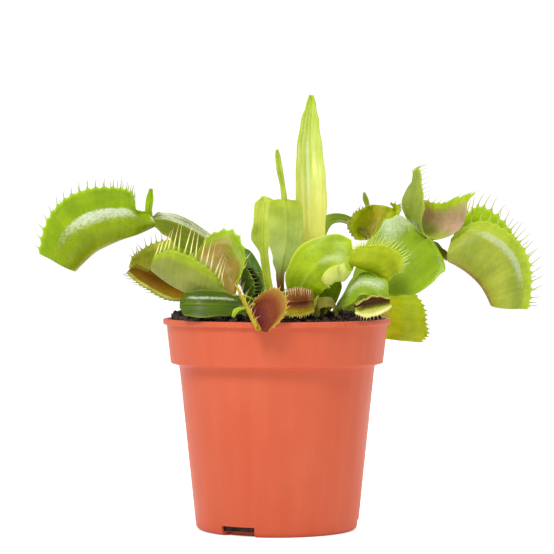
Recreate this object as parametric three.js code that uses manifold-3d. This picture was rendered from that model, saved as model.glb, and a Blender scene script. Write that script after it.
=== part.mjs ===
// A potted Venus flytrap: a round nursery pot, its peat, two rhizomes and every leaf as a separate solid.
// Millimetres, +Z up. The origin is the centre of the pot's underside and -Y is the front of the plant.
import * as THREE from 'three';
import { mergeVertices } from 'three/addons/utils/BufferGeometryUtils.js';
import Module from 'manifold-3d';

const wasm = await Module();
wasm.setup();

// ---------------------------------------------------------------- driving dimensions

const CLEARANCE = 0.3;                  // air kept between two pieces that touch

const POT = {
  height: 78.7,                         // standing height of the rim
  lipRadius: 42.5,                      // an 85 mm pot is named by this rim
  lipHeight: 2.1,
  collarTopRadius: 41.2,
  collarFootRadius: 39.8,
  collarFoot: 62.6,                     // where the collar's band ends
  shoulder: 61.2,                       // where its underside meets the wall
  wallTopRadius: 36.8,
  footRadius: 30.2,
  cornerRadius: 2.2,
  wall: 0.9,
  floor: 1.6,
  sides: 40,
};

const NOTCH = {                         // drainage notches through the foot's corner
  count: 3,
  firstAngle: -118.5,                   // degrees from +X, the one at the front left
  width: 13.5,
  height: 3.7,
  depth: 9,
};

const SOIL = {
  level: 78.2,
  heaps: [[-29, -6, 4.6, 11], [24.5, -15.5, 4.4, 6]],   // x, y, height and spread
  crumbs: 0.55,
  rings: 4,
  sectors: 24,
};

const RHIZOME = { radius: 8.4, top: 81.2, bottom: 66, sectors: 12 };

const BLADE = {
  midrib: 1.5,                          // thickness along the middle
  edge: 0.75,
  steps: 12,
  across: [-1, -0.5, 0, 0.5, 1],
  acrossRolled: [-1, -0.5, 0, 0.5, 0.6, 0.7, 0.8, 0.9, 1],
  flatShare: 0.5,                       // share of the half width that stays flat where an edge rolls over
  thickFoot: 1.1,                       // added at the foot, and gone at a quarter of the length
};

const LOBE = {
  midrib: 1.3,                          // thickness at the hinge
  edge: 0.6,                            // thickness at the margin
  crease: 0.8,                          // where the outer band begins, if a trap's row says no other
  steps: 12,
  across: [-1, -0.86, -0.62, -0.4, -0.16, 0, 0.16, 0.4, 0.62, 0.86, 1],
  fullest: 0.56,                        // share of the way to the crease where the cushion is highest
  steep: 0.65,                          // power that steepens its rise beside the hinge
  fade: 0.13,                           // share of the width in which it dies away beyond the crease
  curl: 8,                              // degrees that a tooth turns inwards over its length, on average
  shortTooth: 0.55,                     // share of a full tooth's length that the first and the last have
};

// ---------------------------------------------------------------- colours

const COLOURS = {
  pot: [0xdc6a48, 0.5],
  soil: [0x2c2019, 1.0],
  rhizome: [0xd8d2b8, 0.7],
  light: [0xa9cf35, 0.45],
  fresh: [0x8dbb2a, 0.45],
  deep: [0x4f8a1c, 0.45],
  blue: [0x86b774, 0.5],
  red: [0x93413a, 0.5],
};

// ---------------------------------------------------------------- solids

const vec = (list) => new THREE.Vector3(...list);
const radians = THREE.MathUtils.degToRad;
const lerp = THREE.MathUtils.lerp;
const smooth = THREE.MathUtils.smoothstep;
const pair = (value) => (Array.isArray(value) ? value : [value, value]);

function toManifold(geometry) {
  const bare = geometry.clone();
  for (const name of Object.keys(bare.attributes)) {
    if (name !== 'position') {
      bare.deleteAttribute(name);
    }
  }
  const merged = mergeVertices(bare, 1e-4);
  const mesh = new wasm.Mesh({
    numProp: 3,
    vertProperties: new Float32Array(merged.attributes.position.array),
    triVerts: new Uint32Array(merged.index.array),
  });
  mesh.merge();
  return new wasm.Manifold(mesh);
}

function toGeometry(solid) {
  const mesh = solid.getMesh();
  const geometry = new THREE.BufferGeometry();
  geometry.setAttribute('position', new THREE.BufferAttribute(mesh.vertProperties, 3));
  geometry.setIndex(new THREE.BufferAttribute(mesh.triVerts, 1));
  return geometry;
}

// A boolean can leave a sliver behind: the piece is the largest part of what it leaves.
function largest(solid) {
  const parts = solid.decompose();
  return parts.reduce((best, part) => (part.volume() > best.volume() ? part : best));
}

// A thin sheet of a given thickness about the surface point(u, w), closed by walls along its four sides.
// Teeth stand on the side walls at w = -1 and w = 1, as four-sided spikes whose roots are wall panels.
function sheet({ rows, columns, point, thickness, teeth }) {
  const last = rows.length - 1;
  const end = columns.length - 1;
  const middle = rows.map((u) => columns.map((w) => point(u, w)));
  const side = (i, j, sign) => {
    const along = middle[Math.min(i + 1, last)][j].clone().sub(middle[Math.max(i - 1, 0)][j]);
    const over = middle[i][Math.min(j + 1, end)].clone().sub(middle[i][Math.max(j - 1, 0)]);
    const normal = along.cross(over).normalize();
    return middle[i][j].clone().addScaledVector(normal, sign * thickness(rows[i], columns[j]) / 2);
  };
  const points = [];
  const number = (i, j, sign) => (sign > 0 ? 0 : rows.length * columns.length) + i * columns.length + j;
  for (const sign of [1, -1]) {
    for (let i = 0; i <= last; i += 1) {
      for (let j = 0; j <= end; j += 1) {
        points.push(side(i, j, sign));
      }
    }
  }
  const faces = [];
  const panel = (a, b, c, d) => faces.push(a, b, c, a, c, d);
  for (let i = 0; i < last; i += 1) {
    for (let j = 0; j < end; j += 1) {
      panel(number(i, j, 1), number(i + 1, j, 1), number(i + 1, j + 1, 1), number(i, j + 1, 1));
      panel(number(i, j, -1), number(i, j + 1, -1), number(i + 1, j + 1, -1), number(i + 1, j, -1));
    }
  }
  const wall = (i, j, k, l, spike) => {
    const corners = [number(i, j, 1), number(i, j, -1), number(k, l, -1), number(k, l, 1)];
    if (!spike) {
      panel(...corners);
      return;
    }
    points.push(spike);
    corners.forEach((corner, n) => faces.push(corner, corners[(n + 1) % 4], points.length - 1));
  };
  for (let j = 0; j < end; j += 1) {
    wall(0, j + 1, 0, j);
    wall(last, j, last, j + 1);
  }
  for (let i = 0; i < last; i += 1) {
    wall(i, 0, i + 1, 0, teeth && teeth(i, -1, middle));
    wall(i + 1, end, i, end, teeth && teeth(i, 1, middle));
  }
  const geometry = new THREE.BufferGeometry();
  const numbers = points.flatMap((p) => p.toArray());
  geometry.setAttribute('position', new THREE.Float32BufferAttribute(numbers, 3));
  geometry.setIndex(faces);
  const solid = toManifold(geometry);
  return solid.volume() < 0 ? toManifold(flipped(geometry)) : solid;
}

function flipped(geometry) {
  const index = geometry.index.array;
  for (let i = 0; i < index.length; i += 3) {
    [index[i + 1], index[i + 2]] = [index[i + 2], index[i + 1]];
  }
  return geometry;
}

const even = (steps) => Array.from({ length: steps + 1 }, (_, i) => i / steps);

// ---------------------------------------------------------------- leaf parts

// A petiole is a blade carried along a curve. A row of its route is x, y, z and the half width there, or
// the left and the right half width. Its upper face turns from face[0] to face[1], its halves are raised by
// fold degrees, and its edges wave. A roll [degrees, from, to] bends the outer part of the right half into
// an arc.
function blade(petiole, grow = 0, until = 1) {
  const curve = new THREE.CatmullRomCurve3(petiole.route.map((p) => vec(p)), false, 'centripetal');
  const lefts = petiole.route.map((p) => p[3]);
  const rights = petiole.route.map((p) => (p.length > 4 ? p[4] : p[3]));
  const count = lefts.length - 1;
  const [from, to] = petiole.face.map((f) => vec(f));
  const wave = petiole.wave || 0;
  const waves = petiole.waves || 3;
  const fold = radians(petiole.fold || 0);
  const [roll, rollFrom, rollTo] = petiole.roll || [0, 0, 1];
  const halfWidth = (s, widths) => {
    const k = Math.min(Math.floor(s * count), count - 1);
    return lerp(widths[k], widths[k + 1], smooth(s * count - k, 0, 1));
  };
  const point = (u, w) => {
    const s = u * until;
    const tangent = curve.getTangent(s);
    const upper = from.clone().lerp(to, s);
    upper.addScaledVector(tangent, -upper.dot(tangent)).normalize();
    const across = tangent.clone().cross(upper);
    const width = halfWidth(s, w < 0 ? lefts : rights) + grow;
    const share = THREE.MathUtils.clamp((s - rollFrom) / (rollTo - rollFrom), 0, 1);
    const bend = radians(roll) * Math.sin(Math.PI * share) + 1e-4;
    const rolled = Math.max(w - BLADE.flatShare, 0) * width;
    const radius = (1 - BLADE.flatShare) * width / bend;
    const lift = Math.abs(width * w) * Math.sin(fold)
      + wave * w * w * Math.sin(waves * Math.PI * 2 * s + 2 * w)
      + radius * (1 - Math.cos(rolled / radius));
    const reach = width * w - rolled + radius * Math.sin(rolled / radius);
    return curve.getPoint(s)
      .addScaledVector(tangent, u === 0 ? -grow : 0)
      .addScaledVector(across, reach * Math.cos(fold))
      .addScaledVector(upper, lift);
  };
  return sheet({
    rows: even(Math.max(2, Math.round(BLADE.steps * until))),
    columns: roll > 0 ? BLADE.acrossRolled : BLADE.across,
    point,
    thickness: (u, w) => {
      const foot = (1 - smooth(u * until, 0, 0.25)) * BLADE.thickFoot;
      return lerp(BLADE.midrib, BLADE.edge, Math.abs(w)) + foot + 2 * grow;
    },
  });
}

// Height of a lobe of unit belly at share v of its width: it rises steeply beside the hinge, is fullest part
// of the way to the crease, and dies away just beyond it.
function cushion(v, crease) {
  const fullest = LOBE.fullest * crease;
  const rise = Math.sin(Math.PI / 2 * Math.min(1, v / fullest) ** LOBE.steep);
  return rise * (1 - smooth(v, fullest, crease + LOBE.fade));
}

// A trap is one folded sheet between its hinge and its two margins: w runs from the left margin over the
// hinge to the right one, and u from base to tip. Each lobe is pushed outwards by its belly, a length or a
// pair of lengths for base and tip.
function trap(shape) {
  const curve = (points) => new THREE.CatmullRomCurve3(points.map(vec), false, 'centripetal');
  const hinge = curve(shape.hinge);
  const margins = shape.margins.map(curve);
  const crease = shape.crease || LOBE.crease;
  const point = (u, w) => {
    const number = w < 0 ? 0 : 1;
    const foot = hinge.getPoint(u);
    const ray = margins[number].getPoint(u).sub(foot);
    const outward = hinge.getTangent(u).cross(ray).normalize().multiplyScalar(w < 0 ? -1 : 1);
    const belly = lerp(...pair(shape.belly[number]), u) * cushion(Math.abs(w), crease);
    return foot.addScaledVector(ray, Math.abs(w)).addScaledVector(outward, belly);
  };
  const last = LOBE.across.length - 1;
  const teeth = (i, sign, middle) => {
    const u = (i + 0.5) / LOBE.steps;
    if (i % 2 === 1 || u < (shape.skip || 0)) {
      return null;
    }
    const [at, before, opposite] = sign < 0 ? [0, 1, last] : [last, last - 1, 0];
    const between = (column) => middle[i][column].clone().lerp(middle[i + 1][column], 0.5);
    const root = between(at);
    const ray = root.clone().sub(between(before)).normalize();
    const inwards = between(opposite).sub(root);
    inwards.addScaledVector(ray, -inwards.dot(ray)).normalize();
    const number = sign < 0 ? 0 : 1;
    const lean = radians(pair(shape.inward)[number] + LOBE.curl);
    const share = lerp(LOBE.shortTooth, 1, Math.sin(Math.PI * u) ** 0.5);
    const length = pair(shape.tooth)[number] * share;
    return root.addScaledVector(ray, length * Math.cos(lean))
      .addScaledVector(inwards, length * Math.sin(lean));
  };
  return sheet({
    rows: even(LOBE.steps),
    columns: LOBE.across,
    point,
    thickness: (u, w) => lerp(LOBE.midrib, LOBE.edge, Math.min(1, Math.abs(w) * 3)),
    teeth,
  });
}

// ---------------------------------------------------------------- the leaves

// Routes, hinges and margins are lists of points. A route runs from the rhizome outwards, and a hinge and
// its margins from base to tip. A tooth has a length and the degrees that it leans inwards, each a number for
// both lobes or a pair.
const LEAVES = {
  far_left: {
    colour: 'fresh',
    petiole: {
      route: [
        [-7, 3, 77, 1.7], [-8.4, 6, 86, 2.4], [-12.8, 9, 95, 6], [-20, 9, 103, 9, 8],
        [-28.6, 6.5, 109, 9.5, 8], [-36.5, 2, 113.4, 9, 7.5], [-42.4, -1.5, 115.2, 6.5, 6],
        [-47, -3, 115.2, 1.7, 1.7],
      ],
      face: [[0.75, -0.25, 0.6], [0, -0.78, 0.62]],
      fold: -14,
      wave: 0.4,
    },
    trap: {
      hinge: [
        [-46.8, -3, 115], [-52.9, -4, 110.8], [-60.4, -5, 107.7], [-67.8, -5.4, 103.9],
        [-72.3, -5.8, 99.8], [-75.6, -6, 96.5],
      ],
      margins: [
        [
          [-47.6, -5, 118.6], [-52.3, -6.4, 119.5], [-53.2, -7.6, 122.4], [-54.4, -8.4, 126],
          [-58.6, -9, 127.4], [-65.6, -9.4, 127.6], [-72.2, -10, 126.4], [-78.4, -10, 123.4],
          [-83.6, -10, 118], [-86.8, -9.5, 111], [-88.4, -8.5, 103],
        ],
        [
          [-48, -1, 117.4], [-52.6, 0.5, 119], [-54.2, 1.4, 125.4], [-61, 1.5, 126.6], [-71, 1.5, 126],
          [-82.4, 0, 118.4], [-86.6, -2, 103.8],
        ],
      ],
      belly: [5.4, 5],
      crease: 0.62,
      tooth: 3.4,
      inward: 8,
      skip: 0.2,
    },
    flap: {
      route: [
        [-46.8, -2.5, 114.5, 1], [-47.8, -4, 118.5, 1.35], [-47.4, -4.2, 123, 1.45],
        [-46.9, -4, 127.2, 0.7],
      ],
      face: [[0.3, -1, 0], [0.3, -1, 0]],
    },
  },
  left_open: {
    colour: 'fresh',
    petiole: {
      route: [[-8.7, -1.6, 77, 1.6], [-15, 3, 83, 2], [-22, 8, 87, 2.4], [-29.8, 10, 88.4, 1.6]],
      face: [[-0.3, 0, 1], [0, -0.5, 0.9]],
    },
    trap: {
      hinge: [[-29.6, 10, 88.3], [-37.4, 8, 91.8], [-46, 5, 95.2], [-53.7, 3, 99]],
      margins: [
        [[-33, -2, 86], [-40, -3, 85.4], [-47.5, -2.5, 89], [-53.5, -1.5, 93.1], [-56.2, 0, 96]],
        [[-28.2, 14, 99], [-33.3, 16, 106], [-42.7, 15, 108], [-51.3, 12, 104.4], [-55, 6, 101.2]],
      ],
      belly: [3, 3],
      tooth: [3, 4.6],
      inward: [25, 0],
    },
  },
  left_low: {
    colour: 'blue',
    petiole: {
      route: [[-7, -9.4, 77, 1.5], [-7.5, -14, 83, 1.8], [-11, -18.6, 87, 2], [-16.6, -21, 87.6, 1.4]],
      face: [[0, -1, 0.2], [-0.4, 0.2, 1]],
    },
    trap: {
      hinge: [[-16.9, -21, 87.4], [-24.6, -20, 87.8], [-32, -19, 88.9], [-40, -18, 93], [-46, -17, 97.8]],
      margins: [
        [
          [-18.7, -23, 89.4], [-23.3, -27, 96.1], [-30.5, -29, 101.6], [-38.5, -28, 104.5],
          [-45, -22, 101.9],
        ],
        [
          [-14.4, -17, 91.9], [-11.6, -10.5, 101.4], [-16.1, -5, 111.4], [-25.1, -3, 109.9],
          [-29.9, -4, 102.8], [-37.5, -9, 99.9], [-44.3, -14, 99.2],
        ],
      ],
      belly: [[4.8, 1], [3.5, 2]],
      tooth: [12, 4],
      inward: 12,
    },
  },
  left_blade: {
    colour: 'deep',
    petiole: {
      route: [
        [-4.4, -12.4, 77, 1.6], [-7.5, -19.5, 82.4, 2.2], [-13, -26, 83.6, 3.4, 3.6],
        [-20, -30, 84.6, 5, 5.2], [-27, -31, 84.8, 5.6, 5.6], [-32.8, -29.4, 84.8, 4.6, 4.6],
        [-35.2, -28.6, 84.6, 1.4, 1.4],
      ],
      face: [[0, -0.8, 0.6], [-0.1, -0.95, 0.3]],
      fold: 10,
    },
  },
  small_curl: {
    colour: 'fresh',
    petiole: {
      route: [
        [-1.4, -13.8, 77, 1], [-5, -24.5, 80.6, 1.2], [-10.2, -31, 82.8, 1.7], [-14.2, -33.6, 82.4, 1.7],
        [-15.8, -34.4, 80.2, 0.8],
      ],
      face: [[0, 0, 1], [-0.5, -0.5, 0.6]],
      fold: 25,
    },
  },
  dark_trap: {
    colour: 'deep',
    petiole: {
      route: [[-9, -6, 77, 1.3], [-10.6, -4.6, 82, 1.8], [-11, -3, 86.5, 1.4]],
      face: [[-0.7, -0.7, 0.2], [-0.5, -0.8, 0.3]],
    },
    trap: {
      hinge: [[-10.8, -3, 86.2], [-13, -3, 91.5], [-13.8, -4, 96.6]],
      margins: [
        [[-8.2, -7.5, 87.4], [-8.4, -9.5, 92], [-11, -9, 97.4]],
        [[-4.8, -3, 87.4], [-5.6, -2.6, 92.6], [-9.2, -3, 97.8]],
      ],
      belly: [1.6, 1.6],
      tooth: 2.4,
      inward: 30,
    },
  },
  front_red: {
    colour: 'red',
    petiole: {
      route: [[2, -13, 77, 1.3], [0.2, -20, 83.4, 1.5], [-3.4, -29, 86.4, 1.7], [-9.4, -36.6, 84.6, 1.2]],
      face: [[0, 1, 0.2], [-0.2, 0.1, 1]],
    },
    trap: {
      hinge: [[-9.8, -37, 84.4], [-8.2, -43, 80.6], [-5.8, -46.5, 76.1]],
      margins: [
        [
          [-8.2, -38, 86.4], [-5.1, -39, 89.2], [-0.1, -40, 91], [3.5, -42.4, 86.8], [2.4, -46.5, 81.2],
          [-2.2, -48, 76.5],
        ],
        [[-15.2, -36, 92.7], [-11.1, -42, 85.7], [-7.5, -48, 78.1]],
      ],
      belly: [1.8, 1],
      tooth: [1.6, 4.4],
      inward: [10, 50],
    },
  },
  front_mouth: {
    colour: 'red',
    petiole: {
      route: [[6, -12.6, 77, 1.2], [4.6, -17.5, 82, 1.5], [3.4, -21.8, 84.8, 1]],
      face: [[0, 1, 0.3], [0, -0.4, 0.9]],
    },
    trap: {
      hinge: [[3.2, -22, 85.1], [8.3, -21.6, 85.5], [13.4, -22, 86.2]],
      margins: [
        [[3.5, -26, 90], [7.5, -26.6, 91.1], [12.6, -26, 89.8]],
        [[2.4, -29, 80.6], [8.2, -29.6, 80.3], [13.6, -28.6, 81.9]],
      ],
      belly: [1.6, 1.6],
      tooth: [5.4, 2.2],
      inward: [75, 20],
    },
  },
  front_curl: {
    colour: 'fresh',
    petiole: {
      route: [[15, -6.5, 77, 1.2], [16.5, -13.6, 83.6, 1.5], [17.4, -19.8, 86.4, 1]],
      face: [[0, 1, 0.3], [0, 0.2, 1]],
    },
    trap: {
      hinge: [[17.4, -20, 86.4], [17.7, -25, 85.6], [18, -29, 83.4]],
      margins: [
        [[14.4, -19.6, 84.2], [14.7, -25, 81.4], [15.2, -28.4, 80.5]],
        [[21.4, -19.4, 84.2], [22, -25, 81.4], [21.4, -28.4, 80.5]],
      ],
      belly: [1.6, 1.6],
      tooth: 0.8,
      inward: 15,
    },
  },
  center_blue: {
    colour: 'blue',
    petiole: {
      route: [
        [2.5, -8, 78, 1.4], [1.4, -7.8, 90, 1.3], [1.2, -8, 95.4, 1.6], [1.9, -8.4, 100, 3.6],
        [3, -9, 106, 6], [3.3, -9, 113, 6.5], [3.1, -8.8, 119, 6.5], [2.6, -8.5, 122.4, 5.6],
        [2.6, -8.4, 123.2, 2],
      ],
      face: [[0, -1, 0], [0.1, -1, 0]],
      fold: -8,
    },
    flap: {
      route: [
        [2.8, -8.2, 122.6, 0.9], [2.1, -7.6, 128, 1.05], [1, -7.4, 134, 1.3], [0.3, -7.6, 139, 1.1],
        [0, -7.6, 141.6, 0.5],
      ],
      face: [[0, -1, 0], [0, -1, 0]],
      fold: 30,
    },
  },
  center_young: {
    colour: 'light',
    petiole: {
      route: [
        [-1.6, 7.4, 78, 1.5], [-3.4, 5.6, 92, 1.6, 1.6], [-4.9, 4.4, 102.5, 1.6, 1.6],
        [-5.4, 4, 109.5, 5, 3.2], [-5.2, 3.6, 115.5, 4.2, 3.2], [-5, 3.4, 121, 4, 3.4],
        [-4.4, 3.2, 123.8, 2, 3.2], [-4.2, 3.2, 124.4, 0.6, 1.2],
      ],
      face: [[0, -1, 0], [0.25, -1, 0]],
      fold: 22,
      wave: 0.5,
    },
  },
  tall: {
    colour: 'light',
    petiole: {
      route: [
        [14.6, 7, 77, 2.6], [13.8, 5, 88, 3.8], [13, 4.2, 100, 5], [12.5, 3.8, 112, 5.9],
        [12.3, 3.4, 122, 6.8], [12, 3, 132, 6.5], [11.7, 2.6, 142, 5.6], [12, 2.2, 152, 4],
        [12.6, 1.6, 158.4, 2.2], [12.8, 1.2, 162.3, 1.1],
      ],
      face: [[0.2, -1, 0], [0.2, -1, 0.1]],
      fold: 28,
    },
  },
  center_broad: {
    colour: 'light',
    petiole: {
      route: [
        [10, -3.5, 77, 1.6, 1.6], [8.8, -10, 86, 4.8, 4.8], [10.6, -13.6, 93.6, 7.8, 8.4],
        [15, -15, 99, 10, 12], [21, -17, 101.4, 10.2, 21], [26.6, -18.6, 101.4, 7.5, 20],
        [28.8, -20.3, 102, 2, 12],
      ],
      face: [[-0.2, -0.9, 0.35], [-0.1, -0.85, 0.5]],
      fold: 6,
      wave: 1.2,
      waves: 1.6,
      roll: [190, 0.45, 1.25],
    },
    trap: {
      hinge: [[27, -20, 100.2], [31.4, -20, 98.2], [35.5, -20, 96.6], [39.7, -20, 94.2]],
      margins: [
        [[27.4, -18.5, 103], [33, -15.5, 105.8], [40, -15, 105], [44.5, -17, 101], [43, -18.6, 96]],
        [
          [27.2, -22.4, 104.4], [30.8, -25, 105.9], [35.8, -26, 106.5], [40.9, -26, 105.6],
          [45, -25, 102.6], [45.7, -23.6, 98.6], [43.3, -22, 95.3],
        ],
      ],
      belly: [3.6, 4],
      tooth: 4.2,
      inward: 14,
    },
  },
  right_low: {
    colour: 'fresh',
    petiole: {
      route: [
        [19, -3.5, 77, 1.6, 1.6], [22, -15, 83, 3.8, 3], [26, -22.4, 89, 8.2, 6],
        [31, -27.4, 92.6, 7.4, 6.4], [36.5, -29.4, 91.6, 5.6, 5.2], [40.6, -29.6, 87.4, 1.3, 1.3],
      ],
      face: [[-0.6, -0.5, 0.5], [0.1, -0.6, 0.8]],
      fold: -12,
      wave: 0.7,
    },
    trap: {
      hinge: [[40.8, -29.4, 86.4], [34.3, -29.4, 85.6], [28.1, -30.4, 83.6]],
      margins: [
        [[41.4, -33.4, 84], [37.5, -35.6, 81.6], [32, -36, 80.3], [28, -34, 81.8]],
        [[40.8, -32.6, 87], [34.7, -34, 88], [28.4, -33.2, 84.8]],
      ],
      belly: [0.8, 1],
      tooth: [4, 1.2],
      inward: [-14, 0],
    },
  },
  right_upper: {
    colour: 'fresh',
    petiole: {
      route: [
        [24.8, 3, 77, 1.7, 1.7], [29.4, 2, 86.4, 3.6, 4.4], [34.5, 0.8, 92.4, 8, 8.5],
        [41, -0.6, 97.6, 13.5, 14.5], [47.6, -2, 101.2, 18, 18], [52.4, -2.8, 104.6, 17, 17.5],
        [55.4, -4.4, 107.4, 9, 16], [56.4, -5.6, 109.2, 1.6, 2],
      ],
      face: [[-0.5, -0.75, 0.4], [-0.25, -0.85, 0.45]],
      fold: 7,
      wave: 1,
      waves: 1.4,
    },
    trap: {
      hinge: [[55.4, -6, 109.2], [54.5, 0, 110.6], [53.7, 5, 112], [52.8, 10, 113.4]],
      margins: [
        [[54.3, -9, 121], [53.8, -5, 128.1], [53, 0, 134.9], [51.1, 6, 134]],
        [[73.4, -11, 125.5], [67.6, -5, 124], [60.4, 2, 121.8], [51, 8, 125]],
      ],
      belly: [[1.4, 5], [6.5, 1.5]],
      tooth: [4.4, 2.4],
      inward: [60, -12],
    },
  },
  far_right: {
    colour: 'light',
    petiole: {
      route: [
        [26.6, 8, 77, 1.7], [32, 11, 87, 3.4], [41, 12.6, 95, 6.4], [50.5, 10.4, 101, 7],
        [57.4, 6, 104, 4.4], [61.6, 2, 103, 1.8], [64.4, -0.4, 100.6, 1.3],
      ],
      face: [[-0.4, -0.7, 0.5], [-0.1, -0.8, 0.6]],
      fold: 8,
      wave: 0.5,
    },
    trap: {
      hinge: [
        [64, -1, 100.6], [68.1, -1.4, 98.3], [72.3, -2, 95.3], [76, -2.4, 91.6], [78.6, -2.8, 87.5],
        [80.5, -3, 83.4],
      ],
      margins: [
        [
          [66, 2, 109.5], [71.3, 4, 118.1], [76.2, 5, 120.8], [82.5, 5, 117.8], [88.2, 4, 111],
          [91.9, 3, 102.4], [93.6, 2, 93], [94.6, 1, 82.4],
        ],
        [
          [64.9, -3.4, 108.8], [70.8, -5, 113.8], [77.8, -6, 115.1], [84.5, -6.6, 112.1],
          [90, -7, 107.3], [93.4, -7, 101.4], [94.5, -7, 95], [94.5, -6.6, 88.4], [93.4, -6, 82.1],
        ],
      ],
      belly: [4.6, 5.4],
      tooth: 5.6,
      inward: 6,
    },
  },
  back_right: {
    colour: 'fresh',
    petiole: {
      route: [
        [17, 12.4, 77, 1.5], [15.5, 18, 95, 2], [16, 22.5, 108, 2.4], [19.5, 24.5, 115, 2.6],
        [25, 25.2, 116, 2.4], [31, 25, 113, 2], [36, 24.4, 108.8, 1.2],
      ],
      face: [[0, -1, 0.1], [-0.1, -0.5, 1]],
      fold: 12,
    },
    trap: {
      hinge: [[36.4, 24, 108], [39.4, 27, 114.7], [42.4, 27.6, 121]],
      margins: [
        [[30.1, 19, 107.9], [27, 17, 112.9], [29.7, 18, 118.3], [34.8, 22, 121]],
        [[40.8, 20, 110.2], [45.3, 18, 116], [47.3, 20, 120.6], [43.7, 24, 122.1]],
      ],
      belly: [3, 2.4],
      tooth: [6, 4],
      inward: [45, 20],
    },
    flap: {
      route: [[35, 23, 120.6, 0.9], [34, 23, 123.6, 1.1], [33.4, 23, 126.2, 0.5]],
      face: [[0, -1, 0], [0, -1, 0]],
    },
  },
  back_hanging: {
    colour: 'fresh',
    petiole: {
      route: [
        [22, 13.4, 77, 1.5], [27, 20, 86, 2.2], [33, 28.6, 92.6, 3.4], [39.4, 35, 93.2, 3],
        [44.6, 38, 88.8, 1.2],
      ],
      face: [[-0.3, -0.6, 0.7], [0.5, 0, 1]],
      fold: 14,
    },
    trap: {
      hinge: [[44.4, 38, 88.6], [41.4, 40, 78.5], [41, 40, 69.4]],
      margins: [
        [[50, 42, 86.4], [53.5, 43, 78], [53.4, 43, 70]],
        [[53.6, 34, 87.2], [57.4, 34, 81.5], [58.1, 34, 76], [58.7, 34, 71], [55.8, 35, 67.9]],
      ],
      belly: [2.6, 2.6],
      tooth: 1.2,
      inward: 0,
    },
  },
  shaded: {
    colour: 'deep',
    petiole: {
      route: [
        [13.6, -1, 77, 1.5, 1.5], [16.8, -3.4, 82.6, 2.6, 3.6], [19, -5.8, 88, 3.4, 4.8],
        [20, -7.8, 93, 3.4, 5.4], [21, -8.8, 96, 1.6, 3.6],
      ],
      face: [[-0.3, -1, 0.2], [-0.2, -0.8, 0.5]],
      fold: 10,
    },
  },
  back_left: {
    colour: 'deep',
    petiole: {
      route: [
        [-6, 8.6, 77, 1.6], [-6.2, 13, 88, 2.2], [-9, 18, 96.5, 3], [-12.6, 22, 102, 3.2],
        [-19, 30, 103, 3.2], [-26, 37, 95, 1.3],
      ],
      face: [[-0.4, -0.6, 0.5], [0.1, 0.2, 1]],
      fold: 14,
      wave: 0.5,
    },
    trap: {
      hinge: [[-26.2, 37.4, 94.6], [-31, 43.4, 92.6], [-35, 49.4, 87.6]],
      margins: [
        [[-31.4, 36.4, 99.8], [-37.6, 41, 100.2], [-41.4, 47, 95.2], [-40.2, 51.8, 88.2]],
        [[-23.4, 42.4, 99], [-25.6, 49.8, 98.6], [-29.4, 54.8, 93.6], [-33.8, 55, 87.6]],
      ],
      belly: [3, 3],
      tooth: 5,
      inward: 8,
    },
  },
  back_low: {
    colour: 'fresh',
    petiole: {
      route: [
        [3, 9.6, 77, 1.6], [4.6, 18, 84.6, 3], [6.5, 27.5, 88, 4.2], [8, 36, 86.6, 3.6],
        [9, 42.4, 82.6, 1.2],
      ],
      face: [[0, 0.3, 0.9], [0, 0.2, 1]],
      fold: 14,
    },
    trap: {
      hinge: [[9, 42.2, 82.8], [10.2, 48.6, 80.8], [11, 53.5, 75.5]],
      margins: [
        [[7, 43.6, 88.4], [6.4, 50.4, 90], [7.4, 57, 86], [8.8, 59.4, 79]],
        [[12.4, 43, 88.2], [14.8, 49.6, 89.6], [15.6, 56, 85.6], [15, 58.6, 78.8]],
      ],
      belly: [2.6, 2.6],
      tooth: 4,
      inward: 16,
    },
  },
};

function leafSolid(leaf) {
  const parts = [blade(leaf.petiole)];
  if (leaf.trap) {
    parts.push(trap(leaf.trap));
  }
  if (leaf.flap) {
    parts.push(blade(leaf.flap));
  }
  return largest(wasm.Manifold.union(parts));
}

// The room that a leaf's foot takes in the peat and in its rhizome.
const footSockets = Object.values(LEAVES).map((leaf) => blade(leaf.petiole, CLEARANCE, 0.34));

// ---------------------------------------------------------------- pot

function lathe(outline, segments) {
  const geometry = new THREE.LatheGeometry(outline.map(([r, z]) => new THREE.Vector2(r, z)), segments);
  geometry.rotateX(Math.PI / 2);
  return toManifold(geometry);
}

function potSolid() {
  const wallAt = (z) => lerp(POT.footRadius, POT.wallTopRadius, z / POT.shoulder);
  const corner = [0, 1, 2, 3].map((k) => {
    const turn = radians(30 * k);
    const middle = wallAt(POT.cornerRadius) - POT.cornerRadius;
    return [middle + POT.cornerRadius * Math.sin(turn), POT.cornerRadius * (1 - Math.cos(turn))];
  });
  const lipFoot = POT.height - POT.lipHeight;
  const outline = [
    [0, 0],
    ...corner,
    [POT.wallTopRadius, POT.shoulder],
    [POT.collarFootRadius, POT.collarFoot],
    [POT.collarTopRadius, lipFoot - 0.3],
    [POT.lipRadius, lipFoot + 0.2],
    [POT.lipRadius, POT.height - 0.5],
    [POT.lipRadius - 0.5, POT.height],
    [POT.lipRadius - 1.6, POT.height],
    [POT.collarTopRadius - POT.wall, lipFoot - 1],
    [POT.collarFootRadius - POT.wall, POT.collarFoot + 1],
    [POT.wallTopRadius - POT.wall, POT.shoulder - 0.4],
    [wallAt(POT.floor) - POT.wall, POT.floor],
    [0, POT.floor],
  ];
  let solid = lathe(outline, POT.sides);
  for (let k = 0; k < NOTCH.count; k += 1) {
    const cutter = new THREE.BoxGeometry(NOTCH.depth, NOTCH.width, 2 * NOTCH.height);
    cutter.translate(POT.footRadius, 0, 0);
    cutter.rotateZ(radians(NOTCH.firstAngle + k * 360 / NOTCH.count));
    solid = solid.subtract(toManifold(cutter));
  }
  return solid;
}

// ---------------------------------------------------------------- rhizomes and peat

const RHIZOMES = { rhizome_left: [0, -1], rhizome_right: [18.5, 4.5] };

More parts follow.
